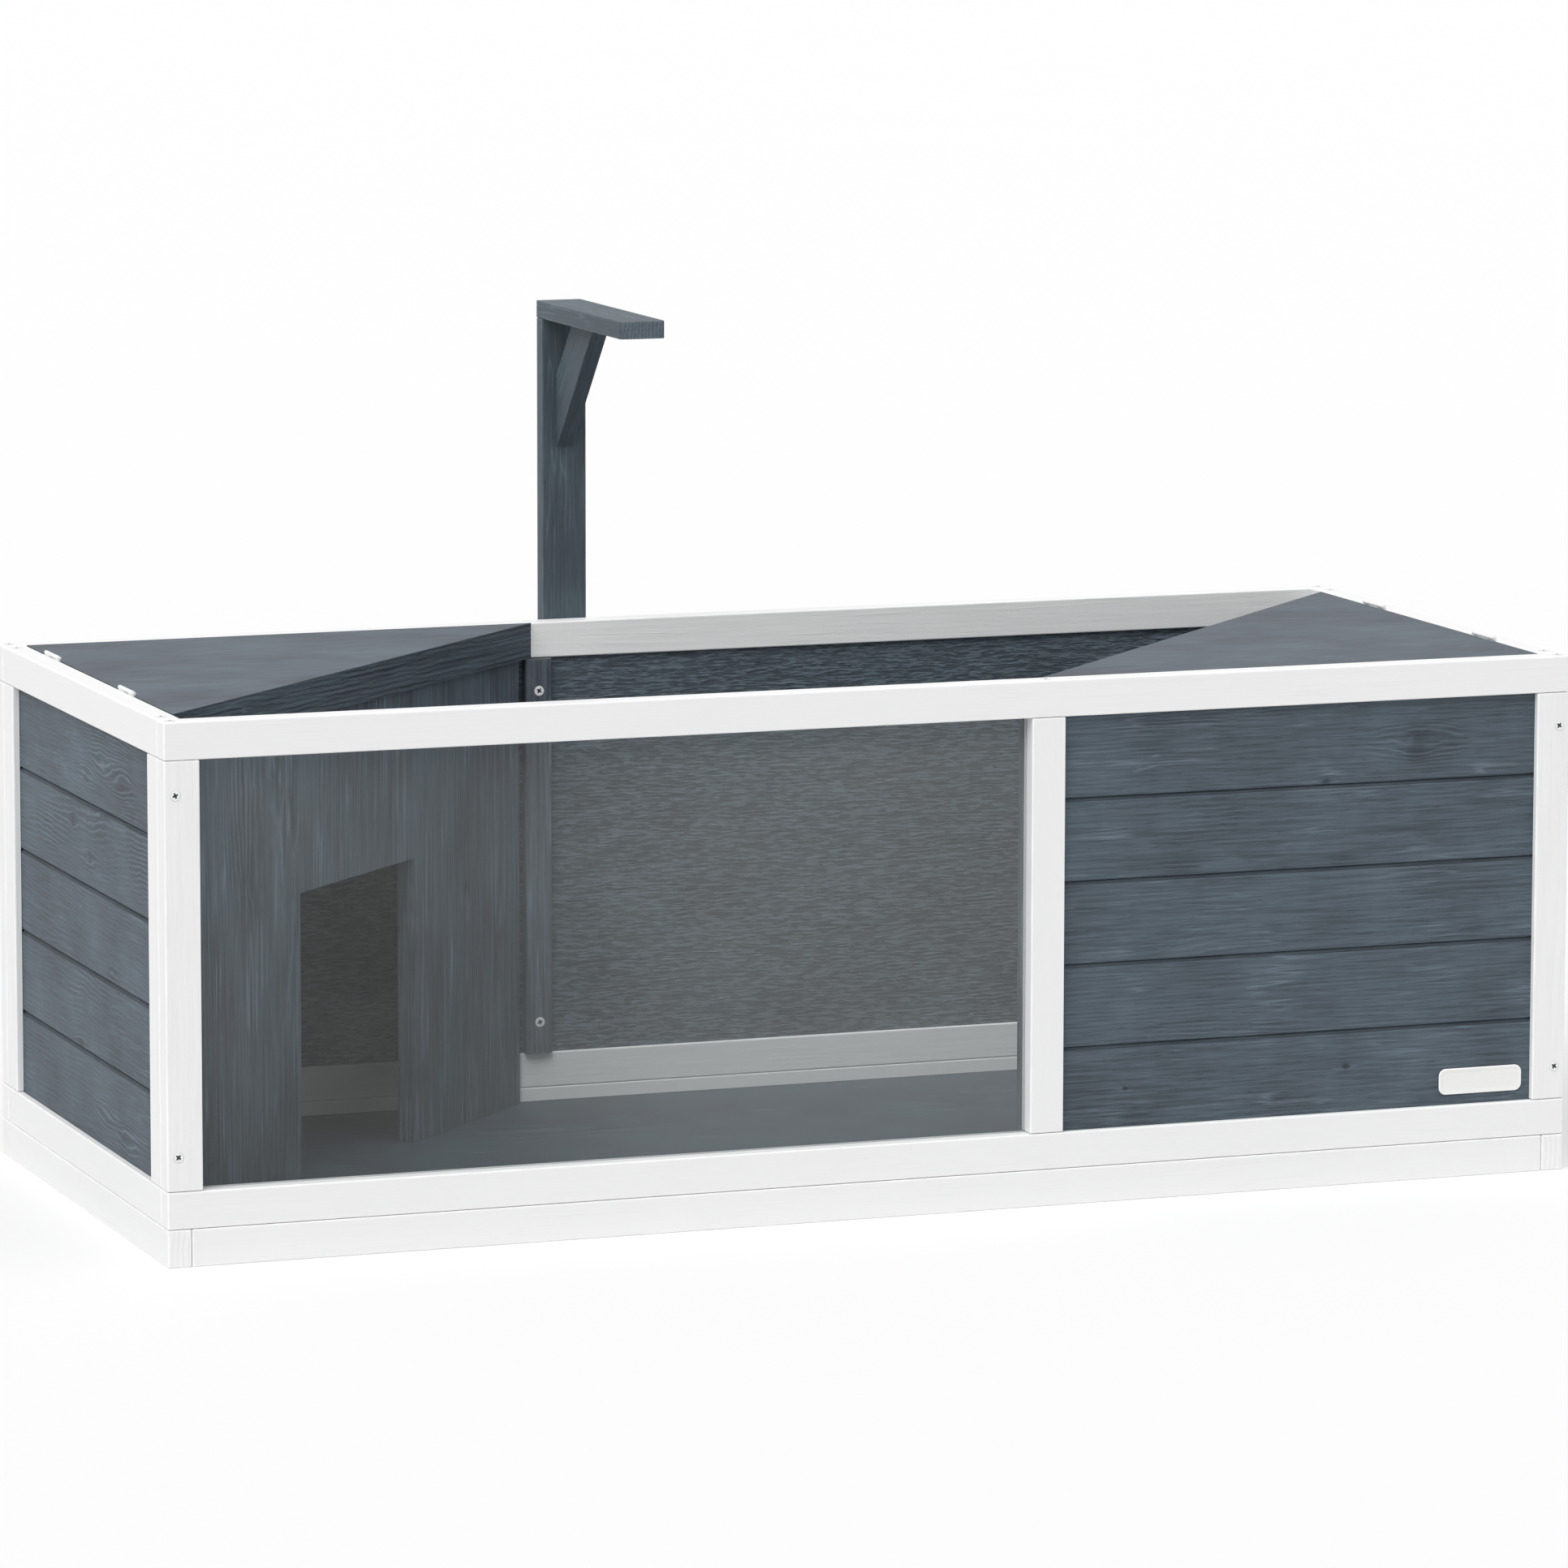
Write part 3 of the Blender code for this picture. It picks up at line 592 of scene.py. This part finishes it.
def coat_lid(side, hide_out):
    """The lid panel and the batten under its free edge. Below its top face the panel takes the batten's own
    grain, so that it runs on from one into the other."""
    batten = f"{side}_lid_front_batten"
    panel = f"{side}_lid_panel"
    seed = LID_SEEDS[side]
    edge_job = (batten, Z.cross(hide_out), hide_out, FASCIA_SLATE, seed)
    coat_timber(*edge_job)
    finish = new_finish(f"{LID_SLATE['name']}_{panel}")
    height = finish.split(finish.object_place())[2]
    under = finish.smooth(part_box(panel)[1][2] - height, *LID_EDGE_TURN)
    coat, roughness, relief = timber(finish, panel, X, Z, LID_SLATE, seed + 1)
    edge_coat, edge_roughness, edge_relief = timber(finish, *edge_job)
    sockets = {
        "Base Color": finish.mix(under, coat, edge_coat),
        "Roughness": roughness + under * (edge_roughness - roughness),
        "Specular IOR Level": LID_SLATE["shine"],
    }
    dress(panel, finish.end(finish.surface(sockets, relief + under * (edge_relief - relief))))


def finish_timbers():
    """Coats every timber node along its own grain. A node's place in the list is the seed of its draws."""
    jobs = [
        ("plinth_front", X, -Y, WHITE),
        ("plinth_back", X, -Y, WHITE),
        ("plinth_left", -Y, -X, WHITE),
        ("plinth_right", Y, X, WHITE),
        ("floor_panel", X, Z, BATTEN_SLATE),
        ("front_middle_post", Z, -Y, WHITE),
        ("back_board", X, -Y, BRUSHED_SLATE),
        ("lamp_post", Z, -Y, HANGER_SLATE),
        ("lamp_arm", Y, -X, HANGER_SLATE),
        ("lamp_brace", BRACE_SLOPE, -X, HANGER_SLATE),
    ]
    for panel, rail_tone in (("front", WHITE), ("back", STREAKED_WHITE)):
        jobs += [(f"{panel}_{level}_rail", X, -Y, rail_tone) for level in ("top", "bottom")]
        jobs += [(f"{panel}_{side}_stile", Z, -Y, STREAKED_WHITE) for side in SIDES]
    for side, outward, toward in (("left", -X, -Y), ("right", X, Y)):
        hide_out = LEFT_HIDE_OUT if side == "left" else -LEFT_HIDE_OUT
        jobs += [(f"{side}_{level}_rail", toward, outward, WHITE) for level in ("top", "bottom")]
        jobs += [(f"{side}_{end}_stile", Z, outward, STREAKED_WHITE) for end in ("front", "back")]
        jobs += [(f"{side}_board_{row}", toward, outward, FIGURED_SLATE) for row in BOARD_ROWS]
        jobs += [
            (f"{side}_hide_wall", Z, hide_out, WALL_SLATE),
            (f"{side}_wall_cleat", Z, toward, WALL_SLATE),
            (f"{side}_lid_hinge_batten", Y, Z, BATTEN_SLATE),
        ]
        coat_lid(side, hide_out)
    jobs += [(f"front_board_{row}", X, -Y, SLATE) for row in BOARD_ROWS]
    for seed, job in enumerate(jobs):
        coat_timber(*job, seed)


# The pane. Dust and scratches: their noise, then the noise at which they start and are full. The haze
# thickens between two shares of the pane's width. The veil is the share of light that the sheet scatters:
# everywhere, where the haze is thick, and for dust and scratches. The mirror is what it reflects: the least,
# the rest at a glancing angle, and how suddenly that comes.
PANE_DUST = ((9.0, 9.0, 14.0), 4.0, 0.6)
PANE_DUST_TURN = (0.35, 0.75)
PANE_SCRATCHES = ((40.0, 40.0, 900.0), 2.0)
PANE_SCRATCH_TURN = (0.66, 0.80)
PANE_THICK_TURN = (0.25, 0.70)
VEIL_LEAST = 0.024
VEIL_THICK = 0.034
VEIL_DUST = 0.009
VEIL_SCRATCH = 0.012
MIRROR_LEAST = 0.018
MIRROR_GLANCING = 0.43
MIRROR_SUDDEN = 5.0
PANE_VEIL_COLOUR = (0.60, 0.61, 0.60)
PANE_CLEAR_COLOUR = (0.955, 0.965, 0.965)
PANE_ROUGHNESS = 0.05
PANE_DUST_ROUGHNESS = 0.10


def finish_pane():
    """Clear acrylic: light passes, a thin share of the surroundings is mirrored, and a faint haze of dust and
    fine scratches lies over it, thicker towards the middle post. The mirror is the same from both sides of
    the sheet: the least at a right angle, and most at a glancing one."""
    finish = new_finish("clear_acrylic")
    place = finish.object_place()
    (left, _, _), (right, _, _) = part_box("window_pane")
    along = (finish.split(place)[0] - left) / (right - left)
    thick = finish.smooth(along, *PANE_THICK_TURN)
    dust = finish.smooth(finish.noise(place, *PANE_DUST), *PANE_DUST_TURN)
    scratch = finish.smooth(finish.noise(place, *PANE_SCRATCHES), *PANE_SCRATCH_TURN)
    veil = VEIL_LEAST + thick * VEIL_THICK + dust * VEIL_DUST + scratch * VEIL_SCRATCH
    glancing = finish.field("ShaderNodeLayerWeight", {}, {"Blend": 0.5}, "Facing")
    mirror = glancing ** MIRROR_SUDDEN * MIRROR_GLANCING + MIRROR_LEAST
    roughness = PANE_ROUGHNESS + dust * PANE_DUST_ROUGHNESS
    sheet = finish.surface({"Base Color": colour(*PANE_VEIL_COLOUR), "Roughness": roughness})
    clear = finish.field("ShaderNodeBsdfTransparent", {}, {"Color": colour(*PANE_CLEAR_COLOUR)})
    mixed = finish.field("ShaderNodeMixShader", {}, {0: veil + mirror, 1: clear, 2: sheet})
    dress("window_pane", finish.end(mixed))


# Zinc. Crystals per metre and rub marks as noise, then their shares of the tone and of the roughness. A
# screw's cross and rim carry an attribute of painted shade: nearly black in the cross, grey at the rim.
RECESS_SHADE_ATTRIBUTE = "recess_painted_shade"
ZINC_CRYSTALS = 700.0
ZINC_RUB = ((300.0, 300.0, 1400.0), 3.0, 0.6)
CRYSTAL_SHARE = 0.10
RUB_SHARE = 0.14
RECESS_ROUGHNESS = 0.3
ZINC_RELIEF = 0.00002
ZINC_COLOUR = (0.84, 0.85, 0.85)
RECESS_SHADE_COLOUR = (0.012, 0.012, 0.013)


def zinc(name, roughness, metal):
    """Bright zinc: mottled crystals that differ a little in tone and sheen, with fine rub marks, under a
    thin pale bloom that leaves only part of the metal bare. Where a surface carries the painted shade
    attribute it is dull and painted dark, nearly black in a screw's cross, as painted shade."""
    finish = new_finish(name)
    place = finish.object_place()
    crystal = finish.field("ShaderNodeTexVoronoi", {}, {"Vector": place, "Scale": ZINC_CRYSTALS}, "Color")
    shade = finish.split(crystal)[0] - 0.5
    rub = finish.noise(place, *ZINC_RUB) - 0.5
    # The attribute is painted shade: nearly black in a screw's cross, grey at its rim.
    recess_shade = finish.field("ShaderNodeAttribute", {"attribute_name": RECESS_SHADE_ATTRIBUTE}, output="Fac")
    bright = finish.scaled(ZINC_COLOUR, 1.0 + shade * CRYSTAL_SHARE + rub * RUB_SHARE)
    sockets = {
        "Base Color": finish.mix(recess_shade, bright, colour(*RECESS_SHADE_COLOUR)),
        "Metallic": (1.0 - recess_shade) * metal,
        "Roughness": roughness + shade * CRYSTAL_SHARE + rub * RUB_SHARE + recess_shade * RECESS_ROUGHNESS,
    }
    return finish.end(finish.surface(sockets, rub * ZINC_RELIEF))


def finish_hinges():
    """Plates both leaves of every hinge."""
    plated = zinc("zinc_hinge_plate", roughness=0.46, metal=0.12)
    for side in SIDES:
        for end in ("front", "rear"):
            for leaf in ("rail", "lid"):
                dress(f"{side}_{end}_hinge_{leaf}_leaf", plated)


# New pieces


def set_piece(name, points, faces, material, body="house"):
    """Makes a smooth mesh of numpy points and face lists, and hangs it on its body."""
    mesh = bpy.data.meshes.new(name)
    mesh.from_pydata(points.tolist(), [], faces)
    mesh.materials.append(material)
    mesh.polygons.foreach_set("use_smooth", np.ones(len(mesh.polygons), dtype=bool))
    mesh.update()
    piece = bpy.data.objects.new(name, mesh)
    bpy.context.scene.collection.objects.link(piece)
    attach(piece, body)
    return piece


def ring_faces(rings, spokes):
    """Quads between neighbouring rings of points, with a fan to the first point and one to the last."""
    turn = np.arange(spokes)
    after = (turn + 1) % spokes
    base = 1 + np.arange(rings - 1)[:, None] * spokes
    quads = np.stack([base + turn, base + spokes + turn, base + spokes + after, base + after], -1)
    last = 1 + rings * spokes
    rim = last - spokes
    top = np.stack([np.zeros(spokes, int), 1 + turn, 1 + after], -1)
    bottom = np.stack([np.full(spokes, last), rim + after, rim + turn], -1)
    return quads.reshape(-1, 4).tolist() + top.tolist() + bottom.tolist()


# Screw heads. Shares of their radius: the rings of points, the reach and half width of the cross's arms, and
# the shank. Shares of their rise: the dome's fall to the rim, and the cross's depth, which stays above the
# seat. Shares of an arm's half width: where its side ends, and that side's slope. A share of the reach: the
# slope at an arm's end. The rim's fall has one share for each of the last rings, which carry the same grey
# painted shade, as of a contact shadow round the head.
HEAD_R = 0.0036
HEAD_RISE = 0.00035
LEAF_HEAD_R = 0.0021
LEAF_HEAD_RISE = 0.00012
HEAD_SPOKES = 64
HEAD_RINGS = np.concatenate([np.linspace(0.04, 0.68, 18), [0.78, 0.88, 0.95, 0.985, 1.0]])
DOME_SHARE = 0.40
RIM_FALL = np.array([0.97, 0.80, 0.42])
RIM_SHADE = 0.38
RECESS_REACH_SHARE = 0.60
RECESS_ARM_SHARE = 0.16
RECESS_DEPTH_SHARE = 0.70
ARM_SIDE_END = 1.3
ARM_SIDE_SLOPE = 0.35
ARM_END_SLOPE = 0.22
SHANK_SHARE = 0.48
SHANK_LENGTHS = 1.7


def screw_shape(head_r, rise):
    """A screw head on the axis Z with its seat at 0. The head is a low dome, highest in the middle and
    falling with the square of the radius to a rounded rim, less a cross: both arms sink by the same share of
    the dome's height and run out at their reach. Below the seat a shank closes it. Also gives each point's
    painted shade: dark by how deep in the cross it is, and grey on the rim as a painted contact shadow."""
    turn = np.linspace(0.0, 2 * np.pi, HEAD_SPOKES, endpoint=False)
    radius = head_r * HEAD_RINGS
    rim = slice(-len(RIM_FALL), None)
    dome = rise * (1.0 - DOME_SHARE * HEAD_RINGS ** 2)
    dome[rim] *= RIM_FALL
    x = radius[:, None] * np.cos(turn)
    y = radius[:, None] * np.sin(turn)
    narrow = np.minimum(abs(x), abs(y)) / head_r
    wide = np.maximum(abs(x), abs(y)) / head_r
    arm = (RECESS_ARM_SHARE * ARM_SIDE_END - narrow) / (RECESS_ARM_SHARE * ARM_SIDE_SLOPE)
    run_out = (RECESS_REACH_SHARE - wide) / (RECESS_REACH_SHARE * ARM_END_SLOPE)
    cross_depth_and_shade = np.clip(arm, 0.0, 1.0) * np.clip(run_out, 0.0, 1.0)
    z = dome[:, None] * (1.0 - RECESS_DEPTH_SHARE * cross_depth_and_shade)
    shank_r = SHANK_SHARE * head_r
    foot = -SHANK_LENGTHS * head_r
    under = np.array([[head_r, 0.0], [shank_r, shank_r - head_r], [shank_r, foot]])
    shank = np.stack([
        under[:, :1] * np.cos(turn),
        under[:, :1] * np.sin(turn),
        np.repeat(under[:, 1:], HEAD_SPOKES, 1),
    ], -1)
    rings = np.concatenate([np.stack([x, y, z], -1), shank])
    first = [[0.0, 0.0, rise * (1.0 - RECESS_DEPTH_SHARE)]]
    last = [[0.0, 0.0, foot - shank_r / 2]]
    points = np.concatenate([first, rings.reshape(-1, 3), last])
    # The rim's last rings get a grey painted shade, as of a contact shadow round the head.
    cross_depth_and_shade[rim] = RIM_SHADE
    recess_painted_shade = np.zeros(len(points))
    recess_painted_shade[0] = 1.0
    recess_painted_shade[1:1 + cross_depth_and_shade.size] = cross_depth_and_shade.ravel()
    return points, ring_faces(len(rings), HEAD_SPOKES), recess_painted_shade


def drive_screw(name, place, facing, material, turn, body="house", head_r=HEAD_R, rise=HEAD_RISE):
    """Sets a screw with its head's seat at the place, looking along facing, with its cross turned."""
    points, faces, recess_painted_shade = screw_shape(head_r, rise)
    turned = facing.to_track_quat("Z", "Y").to_matrix() @ Matrix.Rotation(turn, 3, "Z")
    points = points @ np.array(turned).T + np.array(place)
    piece = set_piece(name, points, faces, material, body)
    depth = piece.data.attributes.new(RECESS_SHADE_ATTRIBUTE, "FLOAT", "POINT")
    depth.data.foreach_set("value", recess_painted_shade)


# Places of the frame's screws: how far in from the nearest face of the house, for the first screw and for
# the second at a top corner, how far both of those are from its side, and the heights on stiles and cleats
SCREW_FROM_END = 0.0075
SCREW_SECOND = 0.0290
RAIL_SCREW_FROM_SIDE = 0.0065
STILE_SCREW_HIGH = 0.3105
STILE_SCREW_LOW = 0.073

# Places of a leaf's screws: shares of its length, how far below the lid's top, and how far the leaf's face is
# from the hinge's middle plane
HINGE_SCREW_SHARES = (0.24, 0.76)
HINGE_SCREW_DROP = 0.0085
HINGE_FACE = 0.00015

# The draws of the crosses' turns
SCREW_SEED = 7


def frame_screws():
    """Screws through the stiles, down through the corners of the top rails and over the middle post."""
    low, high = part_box("front_top_rail")
    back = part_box("back_top_rail")[1][1]
    spots = []
    for side, edge, inward in (("left", low[0], 1.0), ("right", high[0], -1.0)):
        x = edge + inward * SCREW_FROM_END
        for level, z in (("high", STILE_SCREW_HIGH), ("low", STILE_SCREW_LOW)):
            spots.append((f"screw_front_{side}_{level}", (x, low[1], z), -Y))
            spots.append((f"screw_back_{side}_{level}", (x, back, z), Y))
        x = edge + inward * RAIL_SCREW_FROM_SIDE
        for end, y, step in (("front", low[1], 1.0), ("back", back, -1.0)):
            for word, away in (("corner", SCREW_FROM_END), ("side", SCREW_SECOND)):
                spots.append((f"screw_top_{end}_{side}_{word}", (x, y + step * away, high[2]), Z))
    post_low, post_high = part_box("front_middle_post")
    over_post = ((post_low[0] + post_high[0]) / 2, low[1] + SCREW_FROM_END, high[2])
    spots.append(("screw_top_middle_post", over_post, Z))
    return spots


def cleat_and_post_screws():
    """Screws through the face of each cleat, and through the lamp post into the back's rails."""
    spots = []
    for side, facing, corner in (("left", -Y, 0), ("right", Y, 1)):
        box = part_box(f"{side}_wall_cleat")
        x = (box[0][0] + box[1][0]) / 2
        for level, z in (("high", STILE_SCREW_HIGH), ("low", STILE_SCREW_LOW)):
            spots.append((f"screw_cleat_{side}_{level}", (x, box[corner][1], z), facing))
    low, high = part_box("lamp_post")
    for rail in ("top", "bottom"):
        rail_low, rail_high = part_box(f"back_{rail}_rail")
        place = ((low[0] + high[0]) / 2, high[1], (rail_low[2] + rail_high[2]) / 2)
        spots.append((f"screw_lamp_post_{rail}", place, Y))
    return spots


def drive_screws():
    """Drives every screw, each with its cross at its own turn."""
    plated = zinc("zinc_screw_head", roughness=0.38, metal=0.20)
    draw = np.random.default_rng(SCREW_SEED)
    for name, place, facing in frame_screws() + cleat_and_post_screws():
        drive_screw(name, place, facing, plated, draw.uniform(0.0, math.pi))
    for side, outward in (("left", X), ("right", -X)):
        for end in ("front", "rear"):
            for leaf, facing, body in (("rail", outward, "house"), ("lid", -outward, f"{side}_lid")):
                low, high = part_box(f"{side}_{end}_hinge_{leaf}_leaf")
                middle = (low[0] + high[0]) / 2
                for word, share in zip(("near", "far"), HINGE_SCREW_SHARES):
                    y = low[1] + share * (high[1] - low[1])
                    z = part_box(f"{side}_lid_panel")[1][2] - HINGE_SCREW_DROP
                    place = (middle - facing[0] * HINGE_FACE, y, z)
                    name = f"screw_{side}_{end}_{leaf}_leaf_{word}"
                    turn = draw.uniform(0.0, math.pi)
                    drive_screw(name, place, facing, plated, turn, body, LEAF_HEAD_R, LEAF_HEAD_RISE)


# The plate: its middle as X and Z, its width, height, thickness and corner radius, the least radius of a ring
# within it, and how deep it sits in the board. Its rings run from the board outward and then in over the
# face: how far each is inset, and the rise of all but the first as shares of the thickness.
PLATE_MIDDLE = (0.4384, 0.0661)
PLATE_W = 0.0622
PLATE_H = 0.0180
PLATE_T = 0.0013
PLATE_CORNER = 0.0052
PLATE_LEAST_CORNER = 0.0008
PLATE_SINK = 0.0003
PLATE_SPOKES = 96
PLATE_INSETS = np.array([0.0, 0.0, 0.00012, 0.00040, 0.0012, 0.0017, 0.0040, 0.0080])
PLATE_RISES = np.array([0.72, 0.90, 1.0, 1.0, 0.88, 0.88, 0.88])

# Its enamel: the distance from the edge over which the rim's painted highlight starts, the distance from the
# board over which the back layer's painted shade starts, and the specks' noise, with the noise at which they
# start and are full
PLATE_RIM_HIGHLIGHT_TURN = (0.0013, 0.0007)
PLATE_BACK_SHADE_TURN = (-0.0006, -0.0004)
PLATE_SPECKS = ((420.0, 420.0, 420.0), 3.0, 0.6)
PLATE_SPECK_TURN = (0.3, 0.7)
PLATE_TONES = (colour(0.812, 0.808, 0.795), colour(0.826, 0.822, 0.808))
PLATE_RIM_HIGHLIGHT_COLOUR = colour(0.90, 0.90, 0.89)
PLATE_BACK_SHADE_COLOUR = colour(0.03, 0.032, 0.035)
PLATE_ROUGHNESS = 0.24
PLATE_SPECK_ROUGHNESS = 0.14
PLATE_COAT = 0.25
PLATE_RELIEF = 0.00002


def plate_enamel(face_y):
    """Off-white enamel with a brighter rim as a painted highlight, by the distance from the plate's rounded
    edge, over a back layer darkened as painted shade under the plate, by the distance from the board."""
    finish = new_finish("plate_enamel")
    place = finish.object_place()
    x, y, z = finish.split(place)
    over_x = finish.math("MAXIMUM", abs(x - PLATE_MIDDLE[0]) - (PLATE_W / 2 - PLATE_CORNER), 0.0)
    over_z = finish.math("MAXIMUM", abs(z - PLATE_MIDDLE[1]) - (PLATE_H / 2 - PLATE_CORNER), 0.0)
    inside = PLATE_CORNER - finish.math("SQRT", over_x * over_x + over_z * over_z)
    # A painted highlight along the rim, and painted shade on the back layer next to the board.
    rim = finish.smooth(inside, *PLATE_RIM_HIGHLIGHT_TURN)
    back = finish.smooth(y - face_y, *PLATE_BACK_SHADE_TURN)
    speck = finish.noise(place, *PLATE_SPECKS)
    enamel = finish.mix(finish.smooth(speck, *PLATE_SPECK_TURN), *PLATE_TONES)
    enamel = finish.mix(rim, enamel, PLATE_RIM_HIGHLIGHT_COLOUR)
    sockets = {
        "Base Color": finish.mix(back, enamel, PLATE_BACK_SHADE_COLOUR),
        "Roughness": PLATE_ROUGHNESS + speck * PLATE_SPECK_ROUGHNESS,
        "Coat Weight": PLATE_COAT,
    }
    return finish.end(finish.surface(sockets, speck * PLATE_RELIEF))


def set_plate():
    """A bare plate on the lowest front board: rounded rectangles, each inset from the last, that rise to
    the face over a rounded edge and close on its middle."""
    face_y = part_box("front_board_1")[0][1]
    centre = np.array([PLATE_MIDDLE[0], face_y, PLATE_MIDDLE[1]])
    inset = PLATE_INSETS[:, None]
    rise = np.concatenate([[-PLATE_SINK], PLATE_RISES * PLATE_T])
    turn = np.linspace(0.0, 2 * np.pi, PLATE_SPOKES, endpoint=False) + np.pi / PLATE_SPOKES
    corner = np.maximum(PLATE_CORNER - inset, PLATE_LEAST_CORNER)
    x = np.sign(np.cos(turn)) * (PLATE_W / 2 - inset - corner) + corner * np.cos(turn)
    z = np.sign(np.sin(turn)) * (PLATE_H / 2 - inset - corner) + corner * np.sin(turn)
    y = np.broadcast_to(-rise[:, None], x.shape)
    rings = np.stack([x, y, z], -1)[::-1]
    first = [[0.0, -rise[-1], 0.0]]
    last = [[0.0, PLATE_SINK, 0.0]]
    points = np.concatenate([first, rings.reshape(-1, 3), last]) + centre
    faces = ring_faces(len(rings), PLATE_SPOKES)
    set_piece("bare_plate", points, faces, plate_enamel(face_y))


# Studio and camera


def set_floor():
    """A pale floor that keeps the shadow and runs out to white."""
    finish = new_finish("pale_floor")
    cloud = finish.noise(finish.object_place(), *FLOOR_CLOUDS) - 0.5

    def ground(tone):
        grey = finish.scaled((tone, tone, tone), 1.0 + cloud * FLOOR_CLOUD_SHARE)
        sockets = {"Base Color": grey, "Roughness": FLOOR_ROUGHNESS, "Specular IOR Level": FLOOR_SHINE}
        return finish.surface(sockets)

    glow = {"Color": colour(1.0, 1.0, 1.0), "Strength": FLOOR_SEEN_GLOW}
    shown = finish.field("ShaderNodeEmission", {}, glow)
    shown = finish.field("ShaderNodeAddShader", {}, {0: ground(FLOOR_SEEN_TONE), 1: shown})
    seen = finish.field("ShaderNodeLightPath", output="Is Camera Ray")
    mixed = finish.field("ShaderNodeMixShader", {}, {0: seen, 1: ground(FLOOR_TONE), 2: shown})
    corners = np.array([[-1, -1, 0], [1, -1, 0], [1, 1, 0], [-1, 1, 0]]) * FLOOR_REACH
    mesh = bpy.data.meshes.new("studio_floor")
    mesh.from_pydata(corners.tolist(), [], [[0, 1, 2, 3]])
    mesh.materials.append(finish.end(mixed))
    floor = bpy.data.objects.new("studio_floor", mesh)
    bpy.context.scene.collection.objects.link(floor)


def set_sky():
    """An even sky, white where it is seen, mirrored or looked at through the pane."""
    finish = Finish(bpy.data.worlds.new("studio_sky"))
    white = colour(1.0, 1.0, 1.0)
    shown = finish.field("ShaderNodeBackground", {}, {"Color": white, "Strength": 1.0})
    lights = finish.field("ShaderNodeBackground", {}, {"Color": white, "Strength": SKY_STRENGTH})
    path = finish.node("ShaderNodeLightPath")
    rays = ("Is Camera Ray", "Is Glossy Ray", "Is Transmission Ray")
    seen = finish.most(*(Field(finish, path.outputs[ray]) for ray in rays))
    mixed = finish.field("ShaderNodeMixShader", {}, {0: seen, 1: lights, 2: shown})
    bpy.context.scene.world = finish.end(mixed, "ShaderNodeOutputWorld")


def set_lamp(name, strength, angle, source):
    """A broad even lamp, far off in the direction of source."""
    lamp = bpy.data.lights.new(name, "SUN")
    lamp.energy = strength
    lamp.angle = angle
    lit = bpy.data.objects.new(name, lamp)
    lit.rotation_euler = source.to_track_quat("Z", "Y").to_euler()
    bpy.context.scene.collection.objects.link(lit)


def set_camera():
    """The camera as solved: level, then turned by the roll, with its view axis kept."""
    forward = CAMERA_FORWARD.normalized()
    level = forward.cross(Z).normalized()
    right = (level + level.cross(forward) * CAMERA_ROLL).normalized()
    data = bpy.data.cameras.new("camera")
    data.lens = CAMERA_LENS_MM
    data.sensor_width = SENSOR_MM
    data.clip_end = 3 * FLOOR_REACH
    camera = bpy.data.objects.new("camera", data)
    turned = Matrix((right, right.cross(forward), -forward)).transposed().to_4x4()
    camera.matrix_world = Matrix.Translation(CAMERA_PLACE) @ turned
    bpy.context.scene.collection.objects.link(camera)
    bpy.context.scene.camera = camera


set_camera()
set_floor()
set_sky()
set_lamp("studio_key", KEY_STRENGTH, KEY_ANGLE, KEY_FROM)
set_lamp("studio_fill", FILL_STRENGTH, FILL_ANGLE, FILL_FROM)
finish_timbers()
finish_pane()
finish_hinges()
drive_screws()
set_plate()
bpy.context.scene.view_settings.view_transform = "Standard"
